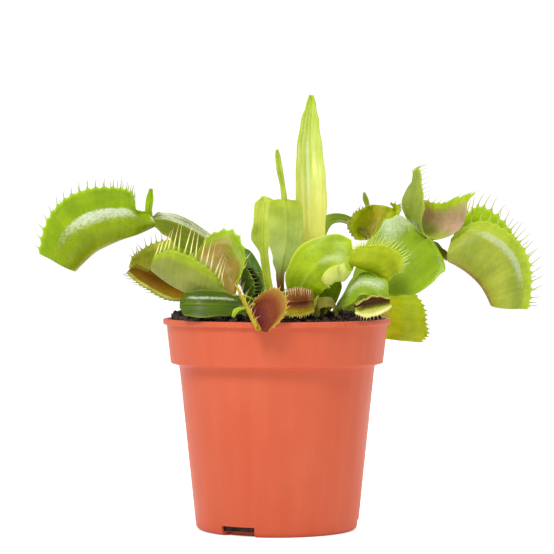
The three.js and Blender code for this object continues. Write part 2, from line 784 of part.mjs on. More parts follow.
function rhizomeSolid([x, y], grow = 0) {
  const profile = [[0, RHIZOME.bottom - grow], [0.55, RHIZOME.bottom + 1 - grow], [0.9, 72], [1, 77.5],
    [0.8, 79.8], [0.45, RHIZOME.top + grow], [0, RHIZOME.top + 0.4 + grow]];
  const outline = profile.map(([share, z]) => [share * RHIZOME.radius + (share > 0 ? grow : 0), z]);
  return lathe(outline, RHIZOME.sectors).translate([x, y, 0]);
}

// The peat fills the pot up to an uneven top with two heaps.
function soilTop(x, y) {
  const lumps = Math.sin(0.55 * x + 1.3) * Math.sin(0.62 * y + 0.4) + 0.6 * Math.sin(0.23 * x - 0.31 * y);
  return SOIL.heaps.reduce((height, [heapX, heapY, rise, spread]) => {
    const far = Math.hypot(x - heapX, y - heapY) / spread;
    return height + rise * Math.exp(-far * far);
  }, SOIL.level + SOIL.crumbs * lumps);
}

function soilSolid() {
  const inside = (z) => {
    const wall = POT.wall + CLEARANCE;
    if (z < POT.shoulder) {
      return lerp(POT.footRadius, POT.wallTopRadius, z / POT.shoulder) - wall;
    }
    return lerp(POT.collarFootRadius, POT.collarTopRadius,
      smooth(z, POT.collarFoot, POT.height)) - wall;
  };
  const points = [];
  const levels = [POT.floor + CLEARANCE, POT.shoulder - 1.2, POT.collarFoot + 2.4];
  const ring = (radius, height) => {
    for (let k = 0; k < SOIL.sectors; k += 1) {
      const turn = 2 * Math.PI * k / SOIL.sectors;
      const x = radius * Math.cos(turn);
      const y = radius * Math.sin(turn);
      points.push(x, y, height === undefined ? soilTop(x, y) : height);
    }
  };
  points.push(0, 0, levels[0]);
  levels.forEach((z) => ring(inside(z) - 0.3, z));
  const edge = inside(POT.collarFoot + 2.4) - 0.3;
  for (let k = SOIL.rings; k >= 1; k -= 1) {
    ring(edge * k / SOIL.rings);
  }
  points.push(0, 0, soilTop(0, 0));
  const faces = [];
  const rings = levels.length + SOIL.rings;
  const at = (r, k) => 1 + r * SOIL.sectors + (k % SOIL.sectors);
  const top = 1 + rings * SOIL.sectors;
  for (let k = 0; k < SOIL.sectors; k += 1) {
    faces.push(0, at(0, k + 1), at(0, k));
    for (let r = 0; r < rings - 1; r += 1) {
      faces.push(at(r, k), at(r, k + 1), at(r + 1, k + 1), at(r, k), at(r + 1, k + 1), at(r + 1, k));
    }
    faces.push(at(rings - 1, k), at(rings - 1, k + 1), top);
  }
  const geometry = new THREE.BufferGeometry();
  geometry.setAttribute('position', new THREE.Float32BufferAttribute(points, 3));
  geometry.setIndex(faces);
  const holes = [...footSockets, ...Object.values(RHIZOMES).map((place) => rhizomeSolid(place, CLEARANCE))];
  return largest(toManifold(geometry).subtract(wasm.Manifold.union(holes)));
}

// ---------------------------------------------------------------- assembly

const plant = new THREE.Group();

function addPiece(name, solid, colour) {
  const [color, roughness] = COLOURS[colour];
  const material = new THREE.MeshStandardMaterial({ color, roughness, metalness: 0 });
  const mesh = new THREE.Mesh(toGeometry(solid), material);
  mesh.name = name;
  plant.add(mesh);
}

addPiece('pot', potSolid(), 'pot');
addPiece('soil', soilSolid(), 'soil');
for (const [name, place] of Object.entries(RHIZOMES)) {
  const solid = largest(rhizomeSolid(place).subtract(wasm.Manifold.union(footSockets)));
  addPiece(name, solid, 'rhizome');
}
for (const [name, leaf] of Object.entries(LEAVES)) {
  addPiece(`leaf_${name}`, leafSolid(leaf), leaf.colour);
}

export default plant;
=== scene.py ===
# %% [markdown]
# # A potted Venus flytrap
#
# The plant is a rosette of leaves in a round nursery pot. Every leaf has two parts that grew as one: the
# petiole, a flat leafy stalk, and the trap, two lobes on a hinge with a fringe of teeth along each margin.
#
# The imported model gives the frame: where the pot stands, how high its rim is and where each leaf has its
# room. It is loaded first, because every size below either comes from it or has to stay inside its box.

# %% Load the frame
import math

import bpy
import numpy as np
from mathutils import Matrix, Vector


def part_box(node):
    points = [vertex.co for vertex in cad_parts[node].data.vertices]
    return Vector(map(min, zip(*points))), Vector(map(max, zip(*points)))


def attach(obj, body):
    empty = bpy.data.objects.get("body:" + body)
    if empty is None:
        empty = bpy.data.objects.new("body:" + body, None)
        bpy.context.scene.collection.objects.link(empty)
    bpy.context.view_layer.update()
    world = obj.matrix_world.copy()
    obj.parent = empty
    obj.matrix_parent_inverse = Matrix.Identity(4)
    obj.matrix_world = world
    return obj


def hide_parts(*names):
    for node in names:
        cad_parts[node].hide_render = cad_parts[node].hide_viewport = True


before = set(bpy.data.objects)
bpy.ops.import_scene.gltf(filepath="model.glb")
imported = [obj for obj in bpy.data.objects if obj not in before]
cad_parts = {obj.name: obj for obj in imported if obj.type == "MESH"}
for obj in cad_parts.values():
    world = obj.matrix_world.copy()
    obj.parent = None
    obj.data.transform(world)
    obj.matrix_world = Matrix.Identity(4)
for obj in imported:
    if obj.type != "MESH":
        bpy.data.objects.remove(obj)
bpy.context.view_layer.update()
MM = 0.001                      # the tables below are written in millimetres, and the scene is in metres

# %% [markdown]
# ## Camera
#
# The plant is seen from the front, a little above its own middle, through a long lens. A long lens from far
# away keeps the pot's sides nearly parallel and shows its rim as a thin ellipse. The height of the eye sets
# how much of the peat shows, and the tilt puts the horizon in its place.

# %% Place the camera
EYE = Vector((0.0, -0.88, 0.111))
TILT_DOWN = math.radians(1.097)
FOCAL_LENGTH = 152.8            # millimetres, over a sensor 36 wide

lens = bpy.data.cameras.new("camera")
lens.lens = FOCAL_LENGTH
lens.sensor_width = 36.0
lens.clip_start = 0.05
camera = bpy.data.objects.new("camera", lens)
camera.location = EYE
camera.rotation_euler = (math.pi / 2 - TILT_DOWN, 0.0, 0.0)
bpy.context.scene.collection.objects.link(camera)
bpy.context.scene.camera = camera
print("camera:", lens.lens, "mm lens,", round(-EYE.y, 2), "m away")

# %% [markdown]
# ## Studio
#
# A white room: a pale floor that runs out of view, a bright sky all round, and soft panels. One panel in
# front and to the left draws the glossy lines on the leaves, and one behind makes thin leaves glow, because
# some of its light comes through them. Panels are large, so that shadows stay soft. The sky lights the
# plant with less than it shows to the lens, so the backdrop stays white while the shaded sides keep their
# depth. The plain view transform keeps paint values as they are written.

# %% Build the studio
def panel(name, place, aim, size, power):
    """A square soft light at place that faces aim."""
    lamp = bpy.data.lights.new(name, "AREA")
    lamp.size = size
    lamp.energy = power
    light = bpy.data.objects.new(name, lamp)
    light.location = place
    light.rotation_euler = (Vector(aim) - Vector(place)).to_track_quat("-Z", "Y").to_euler()
    bpy.context.scene.collection.objects.link(light)
    return light


def paint(code):
    """A colour written as a hex code in sRGB, turned into the linear values that shaders work in."""
    srgb = np.array([int(code[k:k + 2], 16) for k in (1, 3, 5)]) / 255
    linear = np.where(srgb <= 0.04045, srgb / 12.92, ((srgb + 0.055) / 1.055) ** 2.4)
    return (*linear.tolist(), 1.0)


PLANT_HEART = (0.0, 0.0, 0.1)
SKY_LIGHT = 0.66                # how strongly the sky lights the plant
SKY_SHOWN = 1.1                 # and how bright it looks to the lens
panel("front panel", (-0.35, -0.7, 1.0), PLANT_HEART, 0.36, 8.0)
panel("back panel", (0.3, 0.8, 0.9), PLANT_HEART, 0.7, 10.0)

sky = bpy.data.worlds.new("studio")
sky.use_nodes = True
shown = sky.node_tree.nodes["Background"]
shown.inputs["Color"].default_value = paint("#ffffff")
ray = sky.node_tree.nodes.new("ShaderNodeLightPath")
level = sky.node_tree.nodes.new("ShaderNodeMapRange")
level.inputs["To Min"].default_value = SKY_LIGHT
level.inputs["To Max"].default_value = SKY_SHOWN
sky.node_tree.links.new(ray.outputs["Is Camera Ray"], level.inputs["Value"])
sky.node_tree.links.new(level.outputs["Result"], shown.inputs["Strength"])
bpy.context.scene.world = sky
bpy.context.scene.view_settings.view_transform = "Standard"

# %% [markdown]
# ## From arrays to a mesh
#
# Leaves, pot and peat are all surfaces over two parameters, so the same few helpers serve them. A part is a
# dictionary of whole arrays: its points, its faces, and for each point a few numbers that the materials
# read. Parts are joined by shifting the face numbers, which is cheaper and safer than joining objects.

# %% Mesh helpers
MARKS = ("grain", "place")


def smoothstep(x, low=0.0, high=1.0):
    """Rises from 0 at low to 1 at high along an S curve."""
    t = np.clip((x - low) / (high - low), 0.0, 1.0)
    return t * t * (3.0 - 2.0 * t)


def crowded(count):
    """Numbers from 0 to 1 that crowd towards both ends: half of one minus the cosine of an even turn."""
    return 0.5 - 0.5 * np.cos(np.linspace(0.0, np.pi, count))


def unit(vectors):
    """Vectors scaled to length one along the last axis."""
    return vectors / np.maximum(np.linalg.norm(vectors, axis=-1, keepdims=True), 1e-12)


def grid_faces(rows, columns):
    """Four-cornered faces between neighbouring rows and columns of a grid."""
    i, j = np.meshgrid(np.arange(rows - 1), np.arange(columns - 1), indexing="ij")
    a = i * columns + j
    return np.stack([a, a + columns, a + columns + 1, a + 1], axis=-1).reshape(-1, 4)


def turned_faces(rows, sectors):
    """Faces of a closed turned body: four corners between its rings, and a fan over the first and the last
    ring. The two middle points of the fans come after all the rings."""
    i, j = np.meshgrid(np.arange(rows - 1), np.arange(sectors), indexing="ij")
    after = (j + 1) % sectors
    low, high = i * sectors, (i + 1) * sectors
    quads = np.stack([low + j, high + j, high + after, low + after], -1).reshape(-1, 4)
    around = np.arange(sectors)
    beside = (around + 1) % sectors
    bottom = (rows - 1) * sectors
    first, last = (np.full(sectors, rows * sectors + k) for k in (0, 1))
    fans = np.concatenate([np.stack([first, around, beside], -1),
                           np.stack([last, bottom + beside, bottom + around], -1)])
    return [quads, fans]


def plain_part(points, faces):
    """A part whose material reads no marks."""
    blank = np.zeros((len(points), 3))
    return {"points": points, "faces": faces, "grain": blank, "place": blank, "finish": 0}


def join_parts(parts):
    """One part out of several: points are stacked, and each face number moves up by the points before
    it."""
    starts = np.cumsum([0] + [len(p["points"]) for p in parts[:-1]])
    joined = {"points": np.concatenate([p["points"] for p in parts])}
    for mark in MARKS:
        joined[mark] = np.concatenate([p[mark] for p in parts])
    joined["faces"] = [f + s for p, s in zip(parts, starts) for f in p["faces"]]
    joined["finish"] = [np.full(len(f), p["finish"]) for p in parts for f in p["faces"]]
    return joined


def make_piece(name, parts, materials, slot, *nodes):
    """An object from parts, standing for the named nodes. A part's finish is the number of its material."""
    whole = join_parts(parts)
    mesh = bpy.data.meshes.new(name)
    corners = np.concatenate([f.ravel() for f in whole["faces"]])
    sizes = np.concatenate([np.full(len(f), f.shape[1]) for f in whole["faces"]])
    starts = np.cumsum(sizes) - sizes
    mesh.vertices.add(len(whole["points"]))
    mesh.vertices.foreach_set("co", whole["points"].astype(np.float32).ravel())
    mesh.loops.add(len(corners))
    mesh.loops.foreach_set("vertex_index", corners.astype(np.int32))
    mesh.polygons.add(len(sizes))
    mesh.polygons.foreach_set("loop_start", starts.astype(np.int32))
    mesh.polygons.foreach_set("use_smooth", np.ones(len(sizes), bool))
    mesh.polygons.foreach_set("material_index", np.concatenate(whole["finish"]).astype(np.int32))
    mesh.update(calc_edges=True)
    for mark in MARKS:
        layer = mesh.attributes.new(mark, "FLOAT_VECTOR", "POINT")
        layer.data.foreach_set("vector", whole[mark].astype(np.float32).ravel())
    for material in materials:
        mesh.materials.append(material)
    piece = bpy.data.objects.new(name, mesh)
    bpy.context.scene.collection.objects.link(piece)
    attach(piece, "root")
    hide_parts(*nodes)
    print(f"{name}: {len(whole['points'])} points, {len(sizes)} faces")
    return piece


# %% [markdown]
# ## Thin skins
#
# A leaf is a sheet with two faces and a rounded rim. One way is a flat sheet with a Solidify modifier, but
# that gives a square rim. Here both faces are offset from the middle surface along its normal, by half of a
# thickness that falls to nothing at the rim along a quarter ellipse, so the two faces meet there in one
# line of points.

# %% Close a sheet
def closed_sheet(middle, thickness, grain, along, across, finish, rim=(0.06, 0.03), shown_along=None):
    """Two faces about a grid of middle points. Thickness times an ellipse that reaches zero at the rim
    gives the distance between them: the root of 1 - x squared, where x runs from 0 to 1 over the rim's
    share. The materials are shown the share along, or shown_along in its place."""
    rows, columns = middle.shape[:2]
    normal = unit(np.cross(np.gradient(middle, axis=0), np.gradient(middle, axis=1)))
    side = np.clip((np.abs(across) - 1 + rim[0]) / rim[0], 0, 1)
    end = np.clip((np.abs(2 * along - 1) - 1 + 2 * rim[1]) / (2 * rim[1]), 0, 1)
    half = (thickness * np.sqrt(1 - side ** 2) * np.sqrt(1 - end ** 2) / 2)[..., None]
    outer = middle + normal * half
    inner = middle - normal * half
    inside = np.zeros((rows, columns), bool)
    inside[1:-1, 1:-1] = True
    numbers = np.arange(rows * columns).reshape(rows, columns)
    below = numbers.copy()
    below[inside] = rows * columns + np.arange(inside.sum())
    faces = grid_faces(rows, columns)
    facing = np.where(inside, 0.0, 0.5)
    shown = along if shown_along is None else shown_along
    flat = np.stack([np.broadcast_to(shown, facing.shape), np.broadcast_to(np.abs(across), facing.shape)], -1)
    place = np.concatenate([
        np.concatenate([flat.reshape(-1, 2), facing.reshape(-1, 1)], axis=1),
        np.concatenate([flat[inside], np.ones((inside.sum(), 1))], axis=1),
    ])
    return {
        "points": np.concatenate([outer.reshape(-1, 3), inner[inside]]),
        "faces": [faces, below.ravel()[faces][:, ::-1]],
        "grain": np.concatenate([grain.reshape(-1, 3), grain[inside]]),
        "place": place,
        "finish": finish,
    }


# %% [markdown]
# ## The petiole
#
# The leafy stalk follows a curve through a few chosen points. Centripetal Catmull-Rom is used because it
# passes through its points without loops. At each step a cross-line is laid over the curve, as wide as the
# table says on its left and on its right, and its two halves are raised by the fold angle. A travelling
# sine lifts the edges into waves, a cosine over the width presses lengthwise ribs into the blade, and a
# roll lifts one edge until its pale underside shows.

# %% Petiole surface
FLAT_SHARE = 0.4                # share of the half width that stays flat where an edge rolls over
BLADE_THICKNESS = 0.5 * MM
MIDRIB_EXTRA = 0.8 * MM         # what the midrib adds to the thickness
FOOT_EXTRA = 1.0 * MM           # and what the fleshy foot adds


def route_point(route, s):
    """Centripetal Catmull-Rom: between two points the curve is a cubic whose end slopes come from the
    distances to the neighbours, each to the power of a half. Past the ends the neighbour is mirrored."""
    padded = np.concatenate([[2 * route[0] - route[1]], route, [2 * route[-1] - route[-2]]])
    spans = len(route) - 1
    k = np.minimum((s * spans).astype(int), spans - 1)
    t = (s * spans - k)[..., None]
    p0, p1, p2, p3 = (padded[k + n] for n in range(4))
    d0, d1, d2 = (np.sqrt(np.linalg.norm(b - a, axis=-1))[..., None]
                  for a, b in ((p0, p1), (p1, p2), (p2, p3)))
    slope1 = ((p1 - p0) / d0 - (p2 - p0) / (d0 + d1) + (p2 - p1) / d1) * d1
    slope2 = ((p2 - p1) / d1 - (p3 - p1) / (d1 + d2) + (p3 - p2) / d2) * d1
    return (p1 + slope1 * t + (3 * (p2 - p1) - 2 * slope1 - slope2) * t ** 2
            + (2 * (p1 - p2) + slope1 + slope2) * t ** 3)


def eased_steps(values, s):
    """Values at even shares of s, with an S curve from each to the next."""
    spans = len(values) - 1
    k = np.minimum((s * spans).astype(int), spans - 1)
    return values[k] + (values[k + 1] - values[k]) * smoothstep(s * spans - k)


def petiole_part(petiole, rows_per_span=14, columns=33, first_share=0.0, finish=0):
    """The blade's middle surface is: curve point + cross-line times half width times w times the fold's
    cosine + upper direction times the lift. The lift is the fold's sine share, the edge wave and the ribs.
    A rolled edge is bent into an arc: the sine of the turned angle times the radius goes across, and one
    less its cosine goes up."""
    rows = [[*row, row[3]] if len(row) == 4 else row for row in petiole["route"]]
    table = np.array(rows) * MM
    route, left, right = table[:, :3], table[:, 3], table[:, 4]
    s = crowded(rows_per_span * (len(route) - 1) + 1)
    w = 2 * crowded(columns) - 1
    step = 1e-4
    centre = route_point(route, s)
    tangent = unit(route_point(route, np.minimum(s + step, 1)) - route_point(route, np.maximum(s - step, 0)))
    start, end = (np.array(f, float) for f in petiole["face"])
    upper = start + (end - start) * s[:, None]
    upper = unit(upper - tangent * np.sum(upper * tangent, axis=1, keepdims=True))
    cross = np.cross(tangent, upper)
    half_width = np.where(w < 0, eased_steps(left, s)[:, None], eased_steps(right, s)[:, None])
    fold = math.radians(petiole.get("fold", 0))
    wave = petiole.get("wave", 0) * MM
    waves = petiole.get("waves", 3)
    s2, w2 = s[:, None], w[None, :]
    reach = half_width * w2
    lift = np.abs(reach) * math.sin(fold) + wave * w2 ** 2 * np.sin(waves * 2 * np.pi * s2 + 2 * w2)
    roll, roll_start, roll_end = petiole.get("roll", (0, 0, 1))
    rolling = np.clip((s2 - roll_start) / (roll_end - roll_start), 0, 1)
    bend = np.radians(roll) * np.sin(np.pi * rolling) + 1e-4
    rolled = np.maximum(w2 - FLAT_SHARE, 0) * half_width
    radius = (1 - FLAT_SHARE) * half_width / bend
    lift = lift + radius * (1 - np.cos(rolled / radius))
    reach = reach - rolled + radius * np.sin(rolled / radius)
    ribs = petiole.get("ribs", 0.1) * MM * smoothstep(half_width, 1.5 * MM, 5 * MM)
    lift = lift + ribs * np.cos(2 * np.pi * petiole.get("rib_count", 3) * w2) * (1 - w2 ** 2)
    middle = (centre[:, None, :] + cross[:, None, :] * (reach * math.cos(fold))[..., None]
              + upper[:, None, :] * lift[..., None])
    base = (1 - smoothstep(s2, 0, 0.25)) * FOOT_EXTRA
    thickness = BLADE_THICKNESS + MIDRIB_EXTRA * np.exp(-(w2 / 0.14) ** 2) + base
    travelled = np.concatenate([[0], np.cumsum(np.linalg.norm(np.diff(centre, axis=0), axis=1))])
    grain = np.stack(np.broadcast_arrays(travelled[:, None], reach, 0 * reach), axis=-1)
    along = first_share + (1 - first_share) * s2
    thickness = np.broadcast_to(thickness, reach.shape)
    return closed_sheet(middle, thickness, grain, s2, w2, finish, shown_along=along)


# %% [markdown]
# ## The trap
#
# Both lobes are one folded sheet, stretched between three curves: the hinge and the two margins. A flat
# sheet between them would look like folded paper, so each lobe is pushed outwards like a cushion. The push
# rises steeply beside the hinge, which rounds the keel, and dies away before the margin, which leaves a
# flat outer band with a crease where the two meet.

# %% Trap surface
CREASE = 0.8                    # share of a lobe's width where its outer band begins, unless its row says
LOBE_THICKNESS = 0.55 * MM
HINGE_EXTRA = 0.7 * MM          # what the hinge adds to the thickness


def both(value):
    """A pair of values, from one number or from two."""
    return value if isinstance(value, tuple) else (value, value)


def cushion(v, crease):
    """Height of a lobe of unit belly, fullest at 0.56 of the crease's place: a quarter sine of (v over the
    fullest place) to the power 0.65, times a smooth fall from there to just beyond the crease, less a
    narrow groove."""
    fullest = 0.56 * crease
    rise = np.sin(np.pi / 2 * np.minimum(1, v / fullest) ** 0.65)
    return rise * (1 - smoothstep(v, fullest, crease + 0.13)) - 0.07 * np.exp(-((v - crease) / 0.035) ** 2)


def trap_curves(shape, u, side):
    """Hinge point, hinge direction and margin point at share u, for the left lobe (side -1) or the
    right."""
    hinge = np.array(shape["hinge"], float) * MM
    left, right = (np.array(m, float) * MM for m in shape["margins"])
    step = 1e-3
    inside = np.clip(u, 0, 1)
    after, before = np.minimum(inside + step, 1), np.maximum(inside - step, 0)
    direction = unit(route_point(hinge, after) - route_point(hinge, before))
    margin = np.where(side[..., None] < 0, route_point(left, inside), route_point(right, inside))
    return route_point(hinge, inside), direction, margin


def trap_point(shape, u, w):
    """Points of the folded sheet: hinge + v times (margin - hinge) + outward direction times belly times
    the cushion, where v is the size of w. The belly may change from base to tip. The margin is nicked a
    little between the teeth."""
    v = np.abs(w)
    side = np.where(w < 0, -1.0, 1.0)
    hinge, direction, margin = trap_curves(shape, u, side)
    ray = margin - hinge
    outward = unit(np.cross(direction, ray)) * side[..., None]
    left, right = (first + (last - first) * np.clip(u, 0, 1) for first, last in map(both, shape["belly"]))
    belly = np.where(w < 0, left, right) * MM
    nicks = 0.02 * np.cos(2 * np.pi * shape.get("teeth", 15) * u) * smoothstep(v, 0.88, 1)
    ripple = 0.16 * MM * np.sin(23 * u + 2 * v) * smoothstep(v, 0.5, 1) * side
    dimple = 0.1 * MM * np.sin(31 * u + 9 * v) * np.sin(27 * v - 8 * u) * smoothstep(v, 0.1, 0.4)
    height = belly * cushion(v, shape.get("crease", CREASE)) + ripple + dimple
    return hinge + ray * (v * (1 - nicks))[..., None] + outward * height[..., None]


def trap_part(shape, rows=97, lobe_columns=39):
    """The folded sheet closed into a thin body: thick at the hinge, thin in the lobes and at the margin."""
    u = crowded(rows)[:, None]
    v = crowded(lobe_columns)
    w = np.concatenate([-v[::-1], v[1:]])[None, :]
    u2, w2 = np.broadcast_arrays(u, w)
    middle = trap_point(shape, u2, w2)
    rays = 0.05 * MM * np.cos(2 * np.pi * shape.get("teeth", 15) * u) * np.sin(np.pi * np.abs(w))
    thickness = LOBE_THICKNESS + HINGE_EXTRA * np.exp(-(w / 0.1) ** 2) + rays
    hinge, _, margin = trap_curves(shape, u2, np.sign(w2))
    reach = np.linalg.norm(margin - hinge, axis=-1) * w2
    length = np.linalg.norm(hinge[-1, 0] - hinge[0, 0])
    grain = np.stack(np.broadcast_arrays(reach, u * length, np.sign(w2)), axis=-1)
    return closed_sheet(middle, thickness, grain, u, w, 1, rim=(0.04, 0.03))


# %% [markdown]
# ## Teeth and trigger hairs
#
# Each margin carries a comb of long curved teeth, and each lobe of an open trap three short hairs inside.
# All of them are the same thing: a cone of six sides along a curved line. A whole comb is worked out as one
# array of teeth by rings by sides, so one comb or a hundred cost the same few lines. The root sinks into the
# margin, so no gap shows.

# %% Curved cones
CONE_SIDES = 6
CONE_RINGS = 8


def cones(root, ray, inward, edge, length, width, lean, curl, finish=2):
    """One curved cone for each root. Its direction starts at the ray turned by lean towards inward, and
    turns on by curl degrees; its radius falls fast over the foot and then evenly to a fine tip. The section
    is an ellipse, wider along the edge. All are arrays with one row for each cone."""
    t = np.linspace(0, 1, CONE_RINGS)
    angle = np.radians(np.asarray(lean)[:, None] + np.asarray(curl)[:, None] * t)
    heading = np.cos(angle)[..., None] * ray[:, None] + np.sin(angle)[..., None] * inward[:, None]
    move = (heading[:, 1:] + heading[:, :-1]) / 2 * (length / (CONE_RINGS - 1))[:, None, None]
    line = root[:, None] + np.concatenate([0 * move[:, :1], np.cumsum(move, axis=1)], axis=1)
    radius = width[:, None] * (0.1 + 0.52 * (1 - t) + 0.5 * np.exp(-(t / 0.09) ** 2)) / 2
    other = unit(np.cross(heading, edge[:, None]))
    turn = np.linspace(0, 2 * np.pi, CONE_SIDES, endpoint=False)
    ring = (np.cos(turn)[:, None] * edge[:, None, None] + 0.7 * np.sin(turn)[:, None] * other[:, :, None])
    rings = line[:, :, None] + ring * radius[:, :, None, None]
    count = len(root)
    tip = line[:, -1] + heading[:, -1] * width[:, None] * 0.2
    foot = line[:, 0] - heading[:, 0] * width[:, None] * 0.2
    points = np.concatenate([rings.reshape(count, -1, 3), tip[:, None], foot[:, None]], axis=1)
    each = points.shape[1]
    i, j = np.meshgrid(np.arange(CONE_RINGS - 1), np.arange(CONE_SIDES), indexing="ij")
    after = (j + 1) % CONE_SIDES
    a, b = i * CONE_SIDES + j, i * CONE_SIDES + after
    quads = np.stack([a, b, b + CONE_SIDES, a + CONE_SIDES], -1).reshape(-1, 4)
    j = np.arange(CONE_SIDES)
    last = (CONE_RINGS - 1) * CONE_SIDES
    caps = np.concatenate([
        np.stack([last + j, last + (j + 1) % CONE_SIDES, np.full(CONE_SIDES, each - 2)], -1),
        np.stack([(j + 1) % CONE_SIDES, j, np.full(CONE_SIDES, each - 1)], -1),
    ])
    shift = (np.arange(count) * each)[:, None, None]
    share = np.concatenate([np.repeat(t, CONE_SIDES), [1.0, 0.0]])
    place = np.stack([share, 0 * share, 0 * share], -1)
    return {
        "points": points.reshape(-1, 3),
        "faces": [(quads + shift).reshape(-1, 4), (caps + shift).reshape(-1, 3)],
        "grain": np.zeros((count * each, 3)),
        "place": np.tile(place, (count, 1)),
        "finish": finish,
    }


def comb_part(shape, side, rng):
    """The comb of teeth on one margin. A tooth starts along its ray and leans inwards, towards the other
    margin. Teeth are longest in the middle and each is a little its own."""
    count = shape.get("teeth", 15)
    u = (np.arange(count) + 0.5) / count
    u = u[u > shape.get("skip", 0)]
    count = len(u)
    number = 0 if side < 0 else 1
    w = np.full(count, float(side))
    root = trap_point(shape, u, w * 0.985)
    ray = unit(trap_point(shape, u, w) - trap_point(shape, u, w * 0.9))
    edge = unit(trap_point(shape, u + 0.004, w) - trap_point(shape, u - 0.004, w))
    ray = unit(ray + edge * rng.normal(0, 0.06, count)[:, None])
    edge = unit(edge - ray * np.sum(edge * ray, axis=1, keepdims=True))
    inward = trap_curves(shape, u, -w)[2] - trap_curves(shape, u, w)[2]
    inward = unit(inward - ray * np.sum(inward * ray, axis=1, keepdims=True))
    length = both(shape.get("tooth", 6.0))[number] * MM
    length = length * (0.55 + 0.45 * np.sin(np.pi * u) ** 0.5) * rng.uniform(0.8, 1.1, count)
    width = np.full(count, both(shape.get("tooth_width", 0.85))[number] * MM)
    lean = both(shape.get("inward", 15))[number] + rng.normal(0, 5, count)
    curl = shape.get("curl", 16) + rng.normal(0, 8, count)
    return cones(root, ray, inward, edge, length, width, lean, curl)


def hairs_part(shape, side):
    """Three trigger hairs in a triangle on the inner face of a lobe, standing off along its normal."""
    u, v = np.array([0.4, 0.6, 0.5]), np.array([0.42, 0.42, 0.6]) * side
    du = trap_point(shape, u + 0.01, v) - trap_point(shape, u - 0.01, v)
    dv = trap_point(shape, u, v + 0.01) - trap_point(shape, u, v - 0.01)
    stand = -unit(np.cross(du, dv))
    count = len(u)
    return cones(trap_point(shape, u, v), stand, unit(dv), unit(du), np.full(count, 1.6 * MM),
                 np.full(count, 0.22 * MM), np.zeros(count), np.full(count, 12.0))


# %% [markdown]
# ## Leaf finishes
#
# A leaf is never one flat green. Thin veins run along the petiole and fan over the lobes, patches of
# chlorophyll vary over millimetres, the waxy skin is bumpy under a loupe, the edge is paler than the middle
# and the foot has a tint of its own. The veins and the patches are wanted by several materials, so each is a
# node group that is built once and gives out masks and heights only.

# %% Node helpers and shared groups
def new_group(name, inputs, outputs):
    """An empty shader node group with the named float or vector sockets."""
    group = bpy.data.node_groups.new(name, "ShaderNodeTree")
    for label, kind, value in inputs:
        socket = group.interface.new_socket(label, in_out="INPUT", socket_type=kind)
        if value is not None:
            socket.default_value = value
    for label in outputs:
        group.interface.new_socket(label, in_out="OUTPUT", socket_type="NodeSocketFloat")
    return group, group.nodes.new("NodeGroupInput"), group.nodes.new("NodeGroupOutput")


def math_node(tree, operation, first, second=0.0):
    """A Math node's output. Each input is a number or another node's output."""
    node = tree.nodes.new("ShaderNodeMath")
    node.operation = operation
    for socket, value in zip(node.inputs, (first, second)):
        if isinstance(value, (int, float)):
            socket.default_value = value
        else:
            tree.links.new(value, socket)
    return node.outputs[0]


def ease(tree, value, low, high, start=0.0, end=1.0):
    """A smooth Map Range from low..high to start..end."""
    node = tree.nodes.new("ShaderNodeMapRange")
    node.interpolation_type = "SMOOTHSTEP"
    tree.links.new(value, node.inputs["Value"])
    for label, number in (("From Min", low), ("From Max", high), ("To Min", start), ("To Max", end)):
        node.inputs[label].default_value = number
    return node.outputs["Result"]


def blend_colour(tree, factor, first, second, way="MIX"):
    """A colour Mix node's output. Each side is a hex code, a colour or another node's output."""
    node = tree.nodes.new("ShaderNodeMix")
    node.data_type = "RGBA"
    node.blend_type = way
    for index, value in ((0, factor), (6, first), (7, second)):
        value = paint(value) if isinstance(value, str) else value
        if isinstance(value, (int, float, tuple)):
            node.inputs[index].default_value = value
        else:
            tree.links.new(value, node.inputs[index])
    return node.outputs[2]


def noise(tree, vector, scale, detail=2.0, roughness=0.5):
    """A noise texture's value over a vector."""
    node = tree.nodes.new("ShaderNodeTexNoise")
    node.inputs["Scale"].default_value = scale
    node.inputs["Detail"].default_value = detail
    node.inputs["Roughness"].default_value = roughness
    tree.links.new(vector, node.inputs["Vector"])
    return node.outputs["Fac"]


def bump_normal(tree, height, distance, strength=1.0):
    """A Bump node's normal. Distance is how far a height of one stands out."""
    node = tree.nodes.new("ShaderNodeBump")
    node.inputs["Distance"].default_value = distance
    node.inputs["Strength"].default_value = strength
    tree.links.new(height, node.inputs["Height"])
    return node.outputs[0]


def dress(tree, skin, colour, roughness, normal):
    """Wires colour, roughness and normal to a Principled shader."""
    for label, value in (("Base Color", colour), ("Roughness", roughness), ("Normal", normal)):
        tree.links.new(value, skin.inputs[label])


def scaled(tree, vector, factors):
    """A vector times three factors, by a Mapping node."""
    node = tree.nodes.new("ShaderNodeMapping")
    node.inputs["Scale"].default_value = factors
    tree.links.new(vector, node.inputs["Vector"])
    return node.outputs["Vector"]


def build_veins():
    """Veins follow the first grain direction: noise squeezed thin across it and drawn out along it."""
    group, given, result = new_group("leaf veins", [("Grain", "NodeSocketVector", None)], ["Veins", "Height"])
    fine = noise(group, scaled(group, given.outputs["Grain"], (90, 1500, 1)), 1.0, 1.0)
    broad = noise(group, scaled(group, given.outputs["Grain"], (25, 420, 1)), 1.0, 2.0)
    veins = math_node(group, "ADD", math_node(group, "MULTIPLY", fine, 0.45),
                      math_node(group, "MULTIPLY", broad, 0.55))
    group.links.new(ease(group, veins, 0.36, 0.64), result.inputs["Veins"])
    group.links.new(veins, result.inputs["Height"])
    return group


